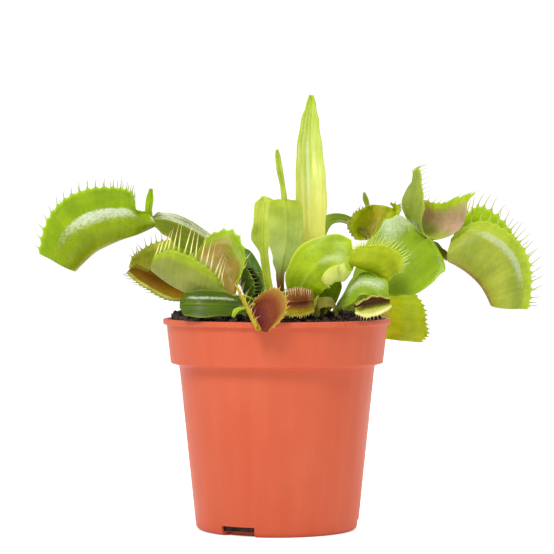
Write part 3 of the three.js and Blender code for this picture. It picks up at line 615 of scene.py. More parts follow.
def build_patches():
    """Cloudy patches some millimetres wide, small flecks, and the fine bumps of the skin's cells."""
    group, given, result = new_group("leaf patches", [("Position", "NodeSocketVector", None)],
                                     ["Patches", "Flecks", "Pebbles", "Cells"])
    position = given.outputs["Position"]
    group.links.new(ease(group, noise(group, position, 130.0, 3.0), 0.3, 0.7), result.inputs["Patches"])
    group.links.new(ease(group, noise(group, position, 900.0, 2.0, 0.6), 0.56, 0.72), result.inputs["Flecks"])
    group.links.new(noise(group, position, 1100.0, 1.0), result.inputs["Pebbles"])
    group.links.new(noise(group, position, 2600.0, 1.0), result.inputs["Cells"])
    return group


VEINS = build_veins()
PATCHES = build_patches()
print("shared groups:", VEINS.name, "and", PATCHES.name)


# %% [markdown]
# ## One leaf material, three recipes
#
# The shader is the same on the petiole, the trap and the teeth: a waxy Principled surface, mixed with a
# Translucent one for the light that comes through. What differs is the colour recipe, which is mixed from
# the marks that the mesh carries: how far along, how far across, and whether the inner or the outer face is
# meant. Some recipes also paint a pale highlight on top, along a crease or a strip of the blade.

# %% Leaf shader and colour recipes
LEAF_GAIN = (1.32, 1.28, 0.66, 1.0)
TOOTH_GAIN = (1.2, 1.2, 1.0, 1.0)
SKIN_RELIEF = 0.22 * MM         # how far the bumps of a leaf's skin stand out
TOOTH_RELIEF = 0.05 * MM
BROKEN_FROM, BROKEN_TO = 0.75, 1.6          # a mask plus the pebbles is eased between these two sums
# The colour of the painted highlights, which stand in for light glinting on the leaves' wax.
PAINTED_HIGHLIGHT_COLOUR = "#f0f8d8"
THROUGH_PAINT = "#f4ffa0"                   # light that has come through a leaf is yellower


def start_material(name):
    """A new material with nodes, and the marks that the leaf meshes carry."""
    material = bpy.data.materials.new(name)
    material.use_nodes = True
    tree = material.node_tree
    tree.nodes.clear()
    marks = {}
    for mark, labels in (("place", ("along", "across", "inner")), ("grain", ("first", "second", "side"))):
        node = tree.nodes.new("ShaderNodeAttribute")
        node.attribute_name = mark
        marks[mark] = node.outputs["Vector"]
        parts = tree.nodes.new("ShaderNodeSeparateXYZ")
        tree.links.new(marks[mark], parts.inputs[0])
        marks.update(zip(labels, parts.outputs))
    marks["object"] = tree.nodes.new("ShaderNodeTexCoord").outputs["Object"]
    return material, tree, marks


def use_group(tree, group, vector):
    """Places a shared group and feeds its one vector input."""
    node = tree.nodes.new("ShaderNodeGroup")
    node.node_tree = group
    tree.links.new(vector, node.inputs[0])
    return node.outputs


def broken(tree, mask, pebbles, strength):
    """A painted highlight's mask whose soft edges break up over the pebbled skin: its sum with the pebbles,
    eased, times strength."""
    return ease(tree, math_node(tree, "ADD", mask, pebbles), BROKEN_FROM, BROKEN_TO, 0.0, strength)


def skin_height(tree, veins, patches, ribbing):
    """Bumps of a leaf's skin: veins times ribbing, the pebbles, and the cells at three tenths."""
    skin = math_node(tree, "ADD", patches["Pebbles"], math_node(tree, "MULTIPLY", patches["Cells"], 0.3))
    return math_node(tree, "ADD", math_node(tree, "MULTIPLY", veins["Height"], ribbing), skin)


def skin_roughness(tree, patches, gloss):
    """Roughness from gloss up to a little more where the patches are."""
    return ease(tree, patches["Patches"], 0.0, 1.0, gloss, gloss + 0.12)


def by_lobe(tree, right, look, label):
    """The left lobe's paint, and the right lobe's where the row has one. The inner paint stands in for
    both."""
    left = look.get(label, look["inner"])
    return blend_colour(tree, right, left, look.get(f"{label}_right", left))


def finish_leaf(tree, colour, height, roughness, look, relief, gain=LEAF_GAIN, painted_highlight=0.0):
    """Principled for the waxy skin, and Translucent with a yellower tint for light from behind. Both take
    the paint lifted by the gain, because a leaf in full light is more yellow than its paint, under a share
    of painted highlight, a pale colour that stands in for light glinting on the wax."""
    colour = blend_colour(tree, 1.0, colour, gain, "MULTIPLY")
    colour = blend_colour(tree, painted_highlight, colour, PAINTED_HIGHLIGHT_COLOUR)
    skin = tree.nodes.new("ShaderNodeBsdfPrincipled")
    normal = bump_normal(tree, height, relief, 0.7)
    dress(tree, skin, colour, roughness, normal)
    skin.inputs["Coat Weight"].default_value = look.get("coat", 0.1)
    skin.inputs["Coat Roughness"].default_value = 0.2
    skin.inputs["Specular IOR Level"].default_value = look.get("specular", 0.25)
    lit = tree.nodes.new("ShaderNodeBsdfTranslucent")
    tree.links.new(blend_colour(tree, 1.0, colour, THROUGH_PAINT, "MULTIPLY"), lit.inputs["Color"])
    tree.links.new(normal, lit.inputs["Normal"])
    mix = tree.nodes.new("ShaderNodeMixShader")
    mix.inputs[0].default_value = look.get("through", 0.32)
    tree.links.new(skin.outputs[0], mix.inputs[1])
    tree.links.new(lit.outputs[0], mix.inputs[2])
    out = tree.nodes.new("ShaderNodeOutputMaterial")
    tree.links.new(mix.outputs[0], out.inputs["Surface"])


def petiole_finish(name, look):
    """From under to upper face, then the tip's paint, a pale edge and midrib, and the foot's paint, with
    veins and patches. A painted highlight lies along one line: strength, start and end along the blade, place
    and reach across it in millimetres."""
    material, tree, marks = start_material(name)
    veins = use_group(tree, VEINS, marks["grain"])
    patches = use_group(tree, PATCHES, marks["object"])
    colour = blend_colour(tree, marks["inner"], look.get("under", look["upper"]), look["upper"])
    tip = ease(tree, marks["along"], look.get("tip_from", 0.7), 1.0, 0.0, look.get("tip_share", 0.0))
    colour = blend_colour(tree, tip, colour, look.get("tip", look["upper"]))
    dark = blend_colour(tree, 1.0, colour, look.get("shade", "#b4c678"), "MULTIPLY")
    colour = blend_colour(tree, math_node(tree, "MULTIPLY", patches["Patches"], 0.6), colour, dark)
    streaks = math_node(tree, "MULTIPLY", veins["Veins"], look.get("streaks", 0.2))
    colour = blend_colour(tree, streaks, colour, look["edge"])
    rib = ease(tree, marks["across"], 0.0, 0.1, look.get("rib", 0.35), 0.0)
    colour = blend_colour(tree, rib, colour, look["edge"])
    rim = ease(tree, marks["across"], 0.88, 1.0, 0.0, 0.7)
    colour = blend_colour(tree, rim, colour, look["edge"])
    foot = ease(tree, marks["along"], look.get("foot_from", 0.0), look.get("foot_to", 0.4), 1.0, 0.0)
    colour = blend_colour(tree, foot, colour, look.get("foot", "#aab35e"))
    height = skin_height(tree, veins, patches, 0.7)
    roughness = skin_roughness(tree, patches, look.get("gloss", 0.34))
    # Painted highlight: a pale streak along the blade, where light glints on it.
    strength, start, end, centre, width = look.get("painted_highlight", (0.0, 0.0, 1.0, 0.0, 1.0))
    painted_highlight = math_node(tree, "MULTIPLY", ease(tree, marks["along"], start, start + 0.15),
                    ease(tree, marks["along"], end - 0.15, end, 1.0, 0.0))
    aside = math_node(tree, "ABSOLUTE", math_node(tree, "SUBTRACT", marks["second"], centre * MM))
    painted_highlight = math_node(tree, "MULTIPLY", painted_highlight, ease(tree, aside, width * MM, 0.0))
    painted_highlight = broken(tree, painted_highlight, patches["Pebbles"], strength)
    finish_leaf(tree, colour, height, roughness, look, SKIN_RELIEF, painted_highlight=painted_highlight)
    return material


def trap_finish(name, look, fold):
    """Outside: keel, lobe, a painted highlight along the crease and a bright band. Inside: from the root by
    the hinge, over the red of the glands, to the rim; the root's share fades towards the tip. A second set of
    paints is for traps whose right lobe differs. Fold is the place of the crease, and the row's crease the
    strength of the painted highlight there."""
    material, tree, marks = start_material(name)
    veins = use_group(tree, VEINS, marks["grain"])
    patches = use_group(tree, PATCHES, marks["object"])
    across = marks["across"]
    keel = ease(tree, across, 0.0, 0.1, 1.0, 0.0)
    outer = blend_colour(tree, keel, look["outer"], look["keel"])
    beyond = ease(tree, across, fold - 0.1, fold + 0.06)
    outer = blend_colour(tree, beyond, outer, look["band"])
    # Painted highlight: a pale streak just inside the crease, on the outer face, where light glints on the
    # ridge.
    crease = math_node(tree, "MULTIPLY", ease(tree, across, fold - look.get("painted_highlight_width", 0.08), fold - 0.03),
                       ease(tree, across, fold - 0.03, fold + 0.05, 1.0, 0.0))
    outside = ease(tree, marks["inner"], 0.35, 0.65, 1.0, 0.0)
    painted_highlight = math_node(tree, "MULTIPLY", crease, outside)
    painted_highlight = math_node(tree, "MULTIPLY", painted_highlight, ease(tree, marks["along"], 0.08, 0.35))
    painted_highlight = math_node(tree, "MULTIPLY", painted_highlight, ease(tree, marks["along"], 0.6, 0.95, 1.0, 0.3))
    painted_highlight = broken(tree, painted_highlight, patches["Pebbles"], look.get("crease", 0.0))
    right = ease(tree, marks["side"], -0.2, 0.2)
    inner = by_lobe(tree, right, look, "inner")
    root = by_lobe(tree, right, look, "root")
    deep = math_node(tree, "MULTIPLY", ease(tree, across, 0.05, 0.5, 1.0, 0.0),
                     ease(tree, marks["along"], 0.7, 1.0, 1.0, 0.35))
    inner = blend_colour(tree, deep, inner, root)
    glands = math_node(tree, "MULTIPLY", patches["Flecks"], look.get("glands", 0.25))
    inner = blend_colour(tree, glands, inner, look.get("gland", "#7a3a34"))
    wander = math_node(tree, "ADD", across, math_node(tree, "MULTIPLY", patches["Patches"], 0.12))
    rim = ease(tree, wander, look.get("rim_from", 0.62), look.get("rim_to", 0.98))
    inner = blend_colour(tree, rim, inner, by_lobe(tree, right, look, "rim"))
    colour = blend_colour(tree, ease(tree, marks["inner"], 0.35, 0.65), outer, inner)
    dark = blend_colour(tree, 1.0, colour, look.get("shade", "#bfcf84"), "MULTIPLY")
    colour = blend_colour(tree, math_node(tree, "MULTIPLY", patches["Patches"], 0.55), colour, dark)
    pale = blend_colour(tree, 1.0, colour, "#fff6c8", "SOFT_LIGHT")
    colour = blend_colour(tree, math_node(tree, "MULTIPLY", veins["Veins"], 0.22), colour, pale)
    margin = ease(tree, across, 0.93, 1.0, 0.0, 0.75)
    colour = blend_colour(tree, margin, colour, look["edge"])
    height = skin_height(tree, veins, patches, 0.35)
    roughness = skin_roughness(tree, patches, look.get("gloss", 0.3))
    finish_leaf(tree, colour, height, roughness, look, SKIN_RELIEF, painted_highlight=painted_highlight)
    return material


def tooth_finish(name, look):
    """From the margin's colour at the root to the tip's colour along each tooth."""
    material, tree, marks = start_material(name)
    patches = use_group(tree, PATCHES, marks["object"])
    root = ease(tree, marks["along"], 0.0, 0.3)
    colour = blend_colour(tree, root, look["edge"], look["tooth"])
    far = ease(tree, marks["along"], 0.35, 0.95)
    colour = blend_colour(tree, far, colour, look["tip"])
    roughness = ease(tree, patches["Patches"], 0.0, 1.0, 0.35, 0.5)
    finish_leaf(tree, colour, patches["Cells"], roughness, {"coat": 0.1}, TOOTH_RELIEF, TOOTH_GAIN)
    return material


# %% [markdown]
# ## The leaves
#
# Each leaf has a row, in millimetres. A petiole is a route of x, y, z and half width (or its left and its
# right half width), with the direction of its upper face at both ends. A trap is its hinge and its two
# margins, from base to tip, and how far each lobe bellies out. These are the same curves as the solid
# model's, so that each leaf fills the room that was made for it.

# %% Leaf table
LEAVES = {
    "far_left": {
        "slot": "leaf_fresh",
        "petiole": {
            "route": ((-7, 3, 77, 1.7), (-8.4, 6, 86, 2.4), (-12.8, 9, 95, 6), (-20, 9, 103, 9, 8),
                      (-28.6, 6.5, 109, 9.5, 8), (-36.5, 2, 113.4, 9, 7.5), (-42.4, -1.5, 115.2, 6.5, 6),
                      (-47, -3, 115.2, 1.7, 1.7)),
            "face": ((0.75, -0.25, 0.6), (0, -0.78, 0.62)), "fold": -14, "wave": 0.4,
        },
        "trap": {
            "hinge": ((-46.8, -3, 115), (-52.9, -4, 110.8), (-60.4, -5, 107.7), (-67.8, -5.4, 103.9),
                      (-72.3, -5.8, 99.8), (-75.6, -6, 96.5)),
            "margins": (
                ((-47.6, -5, 118.6), (-52.3, -6.4, 119.5), (-53.2, -7.6, 122.4), (-54.4, -8.4, 126),
                 (-58.6, -9, 127.4), (-65.6, -9.4, 127.6), (-72.2, -10, 126.4), (-78.4, -10, 123.4),
                 (-83.6, -10, 118), (-86.8, -9.5, 111), (-88.4, -8.5, 103)),
                ((-48, -1, 117.4), (-52.6, 0.5, 119), (-54.2, 1.4, 125.4), (-61, 1.5, 126.6), (-71, 1.5, 126),
                 (-82.4, 0, 118.4), (-86.6, -2, 103.8)),
            ),
            "belly": (5.4, 5), "crease": 0.62, "teeth": 22, "tooth": 3.4, "tooth_width": 0.7, "inward": 8,
            "skip": 0.2,
        },
        "flap": {
            "route": ((-46.8, -2.5, 114.5, 1), (-47.8, -4, 118.5, 1.35), (-47.4, -4.2, 123, 1.45),
                      (-46.9, -4, 127.2, 0.7)),
            "face": ((0.3, -1, 0), (0.3, -1, 0)),
        },
    },
    "left_open": {
        "slot": "leaf_fresh",
        "petiole": {
            "route": ((-8.7, -1.6, 77, 1.6), (-15, 3, 83, 2), (-22, 8, 87, 2.4), (-29.8, 10, 88.4, 1.6)),
            "face": ((-0.3, 0, 1), (0, -0.5, 0.9)),
        },
        "trap": {
            "hairs": True,
            "hinge": ((-29.6, 10, 88.3), (-37.4, 8, 91.8), (-46, 5, 95.2), (-53.7, 3, 99)),
            "margins": (
                ((-33, -2, 86), (-40, -3, 85.4), (-47.5, -2.5, 89), (-53.5, -1.5, 93.1), (-56.2, 0, 96)),
                ((-28.2, 14, 99), (-33.3, 16, 106), (-42.7, 15, 108), (-51.3, 12, 104.4), (-55, 6, 101.2)),
            ),
            "belly": (3, 3), "teeth": 18, "tooth": (3, 4.6), "tooth_width": 0.7, "inward": (25, 0),
        },
    },
    "left_low": {
        "slot": "leaf_blue",
        "petiole": {
            "route": ((-7, -9.4, 77, 1.5), (-7.5, -14, 83, 1.8), (-11, -18.6, 87, 2),
                      (-16.6, -21, 87.6, 1.4)),
            "face": ((0, -1, 0.2), (-0.4, 0.2, 1)),
        },
        "trap": {
            "hairs": True,
            "hinge": ((-16.9, -21, 87.4), (-24.6, -20, 87.8), (-32, -19, 88.9), (-40, -18, 93),
                      (-46, -17, 97.8)),
            "margins": (
                ((-18.7, -23, 89.4), (-23.3, -27, 96.1), (-30.5, -29, 101.6), (-38.5, -28, 104.5),
                 (-45, -22, 101.9)),
                ((-14.4, -17, 91.9), (-11.6, -10.5, 101.4), (-16.1, -5, 111.4), (-25.1, -3, 109.9),
                 (-29.9, -4, 102.8), (-37.5, -9, 99.9), (-44.3, -14, 99.2)),
            ),
            "belly": ((4.8, 1), (3.5, 2)), "teeth": 16, "tooth": (12, 4), "tooth_width": (1.05, 0.6),
            "inward": 12,
        },
    },
    "left_blade": {
        "slot": "leaf_deep",
        "petiole": {
            "route": ((-4.4, -12.4, 77, 1.6), (-7.5, -19.5, 82.4, 2.2), (-13, -26, 83.6, 3.4, 3.6),
                      (-20, -30, 84.6, 5, 5.2), (-27, -31, 84.8, 5.6, 5.6), (-32.8, -29.4, 84.8, 4.6, 4.6),
                      (-35.2, -28.6, 84.6, 1.4, 1.4)),
            "face": ((0, -0.8, 0.6), (-0.1, -0.95, 0.3)), "fold": 10, "ribs": 0.02,
        },
    },
    "small_curl": {
        "slot": "leaf_fresh",
        "petiole": {
            "route": ((-1.4, -13.8, 77, 1), (-5, -24.5, 80.6, 1.2), (-10.2, -31, 82.8, 1.7),
                      (-14.2, -33.6, 82.4, 1.7), (-15.8, -34.4, 80.2, 0.8)),
            "face": ((0, 0, 1), (-0.5, -0.5, 0.6)), "fold": 25,
        },
    },
    "dark_trap": {
        "slot": "leaf_deep",
        "petiole": {
            "route": ((-9, -6, 77, 1.3), (-10.6, -4.6, 82, 1.8), (-11, -3, 86.5, 1.4)),
            "face": ((-0.7, -0.7, 0.2), (-0.5, -0.8, 0.3)),
        },
        "trap": {
            "hinge": ((-10.8, -3, 86.2), (-13, -3, 91.5), (-13.8, -4, 96.6)),
            "margins": (
                ((-8.2, -7.5, 87.4), (-8.4, -9.5, 92), (-11, -9, 97.4)),
                ((-4.8, -3, 87.4), (-5.6, -2.6, 92.6), (-9.2, -3, 97.8)),
            ),
            "belly": (1.6, 1.6), "teeth": 7, "tooth": 2.4, "tooth_width": 0.5, "inward": 30,
        },
    },
    "front_red": {
        "slot": "leaf_red",
        "petiole": {
            "route": ((2, -13, 77, 1.3), (0.2, -20, 83.4, 1.5), (-3.4, -29, 86.4, 1.7),
                      (-9.4, -36.6, 84.6, 1.2)),
            "face": ((0, 1, 0.2), (-0.2, 0.1, 1)),
        },
        "trap": {
            "hinge": ((-9.8, -37, 84.4), (-8.2, -43, 80.6), (-5.8, -46.5, 76.1)),
            "margins": (
                ((-8.2, -38, 86.4), (-5.1, -39, 89.2), (-0.1, -40, 91), (3.5, -42.4, 86.8),
                 (2.4, -46.5, 81.2), (-2.2, -48, 76.5)),
                ((-15.2, -36, 92.7), (-11.1, -42, 85.7), (-7.5, -48, 78.1)),
            ),
            "belly": (1.8, 1), "teeth": 15, "tooth": (1.6, 4.4), "tooth_width": 0.6, "inward": (10, 50),
        },
    },
    "front_mouth": {
        "slot": "leaf_red",
        "petiole": {
            "route": ((6, -12.6, 77, 1.2), (4.6, -17.5, 82, 1.5), (3.4, -21.8, 84.8, 1)),
            "face": ((0, 1, 0.3), (0, -0.4, 0.9)),
        },
        "trap": {
            "hairs": True,
            "hinge": ((3.2, -22, 85.1), (8.3, -21.6, 85.5), (13.4, -22, 86.2)),
            "margins": (
                ((3.5, -26, 90), (7.5, -26.6, 91.1), (12.6, -26, 89.8)),
                ((2.4, -29, 80.6), (8.2, -29.6, 80.3), (13.6, -28.6, 81.9)),
            ),
            "belly": (1.6, 1.6), "teeth": 13, "tooth": (5.4, 2.2), "tooth_width": 0.5, "inward": (75, 20),
        },
    },
    "front_curl": {
        "slot": "leaf_fresh",
        "petiole": {
            "route": ((15, -6.5, 77, 1.2), (16.5, -13.6, 83.6, 1.5), (17.4, -19.8, 86.4, 1)),
            "face": ((0, 1, 0.3), (0, 0.2, 1)),
        },
        "trap": {
            "hinge": ((17.4, -20, 86.4), (17.7, -25, 85.6), (18, -29, 83.4)),
            "margins": (
                ((14.4, -19.6, 84.2), (14.7, -25, 81.4), (15.2, -28.4, 80.5)),
                ((21.4, -19.4, 84.2), (22, -25, 81.4), (21.4, -28.4, 80.5)),
            ),
            "belly": (1.6, 1.6), "teeth": 8, "tooth": 0.8, "tooth_width": 0.5, "inward": 15,
        },
    },
    "center_blue": {
        "slot": "leaf_blue",
        "petiole": {
            "route": ((2.5, -8, 78, 1.4), (1.4, -7.8, 90, 1.3), (1.2, -8, 95.4, 1.6), (1.9, -8.4, 100, 3.6),
                      (3, -9, 106, 6), (3.3, -9, 113, 6.5), (3.1, -8.8, 119, 6.5), (2.6, -8.5, 122.4, 5.6),
                      (2.6, -8.4, 123.2, 2)),
            "face": ((0, -1, 0), (0.1, -1, 0)), "fold": -8,
        },
        "flap": {
            "route": ((2.8, -8.2, 122.6, 0.9), (2.1, -7.6, 128, 1.05), (1, -7.4, 134, 1.3),
                      (0.3, -7.6, 139, 1.1), (0, -7.6, 141.6, 0.5)),
            "face": ((0, -1, 0), (0, -1, 0)), "fold": 30,
        },
    },
    "center_young": {
        "slot": "leaf_light",
        "petiole": {
            "route": ((-1.6, 7.4, 78, 1.5), (-3.4, 5.6, 92, 1.6, 1.6), (-4.9, 4.4, 102.5, 1.6, 1.6),
                      (-5.4, 4, 109.5, 5, 3.2), (-5.2, 3.6, 115.5, 4.2, 3.2), (-5, 3.4, 121, 4, 3.4),
                      (-4.4, 3.2, 123.8, 2, 3.2), (-4.2, 3.2, 124.4, 0.6, 1.2)),
            "face": ((0, -1, 0), (0.25, -1, 0)), "fold": 22, "wave": 0.5,
        },
    },
    "tall": {
        "slot": "leaf_light",
        "petiole": {
            "route": ((14.6, 7, 77, 2.6), (13.8, 5, 88, 3.8), (13, 4.2, 100, 5), (12.5, 3.8, 112, 5.9),
                      (12.3, 3.4, 122, 6.8), (12, 3, 132, 6.5), (11.7, 2.6, 142, 5.6), (12, 2.2, 152, 4),
                      (12.6, 1.6, 158.4, 2.2), (12.8, 1.2, 162.3, 1.1)),
            "face": ((0.2, -1, 0), (0.2, -1, 0.1)), "fold": 28, "ribs": 0.3, "rib_count": 2.5,
        },
    },
    "center_broad": {
        "slot": "leaf_light",
        "petiole": {
            "route": ((10, -3.5, 77, 1.6, 1.6), (8.8, -10, 86, 4.8, 4.8), (10.6, -13.6, 93.6, 7.8, 8.4),
                      (15, -15, 99, 10, 12), (21, -17, 101.4, 10.2, 21), (26.6, -18.6, 101.4, 7.5, 20),
                      (28.8, -20.3, 102, 2, 12)),
            "face": ((-0.2, -0.9, 0.35), (-0.1, -0.85, 0.5)), "fold": 6, "wave": 1.2, "waves": 1.6,
            "roll": (190, 0.45, 1.25),
        },
        "trap": {
            "hinge": ((27, -20, 100.2), (31.4, -20, 98.2), (35.5, -20, 96.6), (39.7, -20, 94.2)),
            "margins": (
                ((27.4, -18.5, 103), (33, -15.5, 105.8), (40, -15, 105), (44.5, -17, 101), (43, -18.6, 96)),
                ((27.2, -22.4, 104.4), (30.8, -25, 105.9), (35.8, -26, 106.5), (40.9, -26, 105.6),
                 (45, -25, 102.6), (45.7, -23.6, 98.6), (43.3, -22, 95.3)),
            ),
            "belly": (3.6, 4), "teeth": 24, "tooth": 4.2, "tooth_width": 0.65, "inward": 14,
        },
    },
    "right_low": {
        "slot": "leaf_fresh",
        "petiole": {
            "route": ((19, -3.5, 77, 1.6, 1.6), (22, -15, 83, 3.8, 3), (26, -22.4, 89, 8.2, 6),
                      (31, -27.4, 92.6, 7.4, 6.4), (36.5, -29.4, 91.6, 5.6, 5.2),
                      (40.6, -29.6, 87.4, 1.3, 1.3)),
            "face": ((-0.6, -0.5, 0.5), (0.1, -0.6, 0.8)), "fold": -12, "wave": 0.7,
        },
        "trap": {
            "hinge": ((40.8, -29.4, 86.4), (34.3, -29.4, 85.6), (28.1, -30.4, 83.6)),
            "margins": (
                ((41.4, -33.4, 84), (37.5, -35.6, 81.6), (32, -36, 80.3), (28, -34, 81.8)),
                ((40.8, -32.6, 87), (34.7, -34, 88), (28.4, -33.2, 84.8)),
            ),
            "belly": (0.8, 1), "teeth": 13, "tooth": (4, 1.2), "tooth_width": 0.5, "inward": (-14, 0),
        },
    },
    "right_upper": {
        "slot": "leaf_fresh",
        "petiole": {
            "route": ((24.8, 3, 77, 1.7, 1.7), (29.4, 2, 86.4, 3.6, 4.4), (34.5, 0.8, 92.4, 8, 8.5),
                      (41, -0.6, 97.6, 13.5, 14.5), (47.6, -2, 101.2, 18, 18), (52.4, -2.8, 104.6, 17, 17.5),
                      (55.4, -4.4, 107.4, 9, 16), (56.4, -5.6, 109.2, 1.6, 2)),
            "face": ((-0.5, -0.75, 0.4), (-0.25, -0.85, 0.45)), "fold": 7, "wave": 1, "waves": 1.4,
        },
        "trap": {
            "hairs": True,
            "hinge": ((55.4, -6, 109.2), (54.5, 0, 110.6), (53.7, 5, 112), (52.8, 10, 113.4)),
            "margins": (
                ((54.3, -9, 121), (53.8, -5, 128.1), (53, 0, 134.9), (51.1, 6, 134)),
                ((73.4, -11, 125.5), (67.6, -5, 124), (60.4, 2, 121.8), (51, 8, 125)),
            ),
            "belly": ((1.4, 5), (6.5, 1.5)), "teeth": 13, "tooth": (4.4, 2.4), "tooth_width": 0.6,
            "inward": (60, -12),
        },
    },
    "far_right": {
        "slot": "leaf_light",
        "petiole": {
            "route": ((26.6, 8, 77, 1.7), (32, 11, 87, 3.4), (41, 12.6, 95, 6.4), (50.5, 10.4, 101, 7),
                      (57.4, 6, 104, 4.4), (61.6, 2, 103, 1.8), (64.4, -0.4, 100.6, 1.3)),
            "face": ((-0.4, -0.7, 0.5), (-0.1, -0.8, 0.6)), "fold": 8, "wave": 0.5,
        },
        "trap": {
            "hinge": ((64, -1, 100.6), (68.1, -1.4, 98.3), (72.3, -2, 95.3), (76, -2.4, 91.6),
                      (78.6, -2.8, 87.5), (80.5, -3, 83.4)),
            "margins": (
                ((66, 2, 109.5), (71.3, 4, 118.1), (76.2, 5, 120.8), (82.5, 5, 117.8), (88.2, 4, 111),
                 (91.9, 3, 102.4), (93.6, 2, 93), (94.6, 1, 82.4)),
                ((64.9, -3.4, 108.8), (70.8, -5, 113.8), (77.8, -6, 115.1), (84.5, -6.6, 112.1),
                 (90, -7, 107.3), (93.4, -7, 101.4), (94.5, -7, 95), (94.5, -6.6, 88.4), (93.4, -6, 82.1)),
            ),
            "belly": (4.6, 5.4), "teeth": 17, "tooth": 5.6, "inward": 6,
        },
    },
    "back_right": {
        "slot": "leaf_fresh",
        "petiole": {
            "route": ((17, 12.4, 77, 1.5), (15.5, 18, 95, 2), (16, 22.5, 108, 2.4), (19.5, 24.5, 115, 2.6),
                      (25, 25.2, 116, 2.4), (31, 25, 113, 2), (36, 24.4, 108.8, 1.2)),
            "face": ((0, -1, 0.1), (-0.1, -0.5, 1)), "fold": 12,
        },
        "trap": {
            "hinge": ((36.4, 24, 108), (39.4, 27, 114.7), (42.4, 27.6, 121)),
            "margins": (
                ((30.1, 19, 107.9), (27, 17, 112.9), (29.7, 18, 118.3), (34.8, 22, 121)),
                ((40.8, 20, 110.2), (45.3, 18, 116), (47.3, 20, 120.6), (43.7, 24, 122.1)),
            ),
            "belly": (3, 2.4), "teeth": 12, "tooth": (6, 4), "inward": (45, 20),
        },
        "flap": {
            "route": ((35, 23, 120.6, 0.9), (34, 23, 123.6, 1.1), (33.4, 23, 126.2, 0.5)),
            "face": ((0, -1, 0), (0, -1, 0)),
        },
    },
    "back_hanging": {
        "slot": "leaf_fresh",
        "petiole": {
            "route": ((22, 13.4, 77, 1.5), (27, 20, 86, 2.2), (33, 28.6, 92.6, 3.4), (39.4, 35, 93.2, 3),
                      (44.6, 38, 88.8, 1.2)),
            "face": ((-0.3, -0.6, 0.7), (0.5, 0, 1)), "fold": 14,
        },
        "trap": {
            "hinge": ((44.4, 38, 88.6), (41.4, 40, 78.5), (41, 40, 69.4)),
            "margins": (
                ((50, 42, 86.4), (53.5, 43, 78), (53.4, 43, 70)),
                ((53.6, 34, 87.2), (57.4, 34, 81.5), (58.1, 34, 76), (58.7, 34, 71), (55.8, 35, 67.9)),
            ),
            "belly": (2.6, 2.6), "teeth": 12, "tooth": 1.2, "tooth_width": 0.8, "inward": 0,
        },
    },
    "shaded": {
        "slot": "leaf_deep",
        "petiole": {
            "route": ((13.6, -1, 77, 1.5, 1.5), (16.8, -3.4, 82.6, 2.6, 3.6), (19, -5.8, 88, 3.4, 4.8),
                      (20, -7.8, 93, 3.4, 5.4), (21, -8.8, 96, 1.6, 3.6)),
            "face": ((-0.3, -1, 0.2), (-0.2, -0.8, 0.5)), "fold": 10,
        },
    },
    "back_left": {
        "slot": "leaf_deep",
        "petiole": {
            "route": ((-6, 8.6, 77, 1.6), (-6.2, 13, 88, 2.2), (-9, 18, 96.5, 3), (-12.6, 22, 102, 3.2),
                      (-19, 30, 103, 3.2), (-26, 37, 95, 1.3)),
            "face": ((-0.4, -0.6, 0.5), (0.1, 0.2, 1)), "fold": 14, "wave": 0.5,
        },
        "trap": {
            "hairs": True,
            "hinge": ((-26.2, 37.4, 94.6), (-31, 43.4, 92.6), (-35, 49.4, 87.6)),
            "margins": (
                ((-31.4, 36.4, 99.8), (-37.6, 41, 100.2), (-41.4, 47, 95.2), (-40.2, 51.8, 88.2)),
                ((-23.4, 42.4, 99), (-25.6, 49.8, 98.6), (-29.4, 54.8, 93.6), (-33.8, 55, 87.6)),
            ),
            "belly": (3, 3), "teeth": 15, "tooth": 5, "inward": 8,
        },
    },
    "back_low": {
        "slot": "leaf_fresh",
        "petiole": {
            "route": ((3, 9.6, 77, 1.6), (4.6, 18, 84.6, 3), (6.5, 27.5, 88, 4.2), (8, 36, 86.6, 3.6),
                      (9, 42.4, 82.6, 1.2)),
            "face": ((0, 0.3, 0.9), (0, 0.2, 1)), "fold": 14,
        },
        "trap": {
            "hinge": ((9, 42.2, 82.8), (10.2, 48.6, 80.8), (11, 53.5, 75.5)),
            "margins": (
                ((7, 43.6, 88.4), (6.4, 50.4, 90), (7.4, 57, 86), (8.8, 59.4, 79)),
                ((12.4, 43, 88.2), (14.8, 49.6, 89.6), (15.6, 56, 85.6), (15, 58.6, 78.8)),
            ),
            "belly": (2.6, 2.6), "teeth": 14, "tooth": 4, "inward": 16,
        },
    },
}
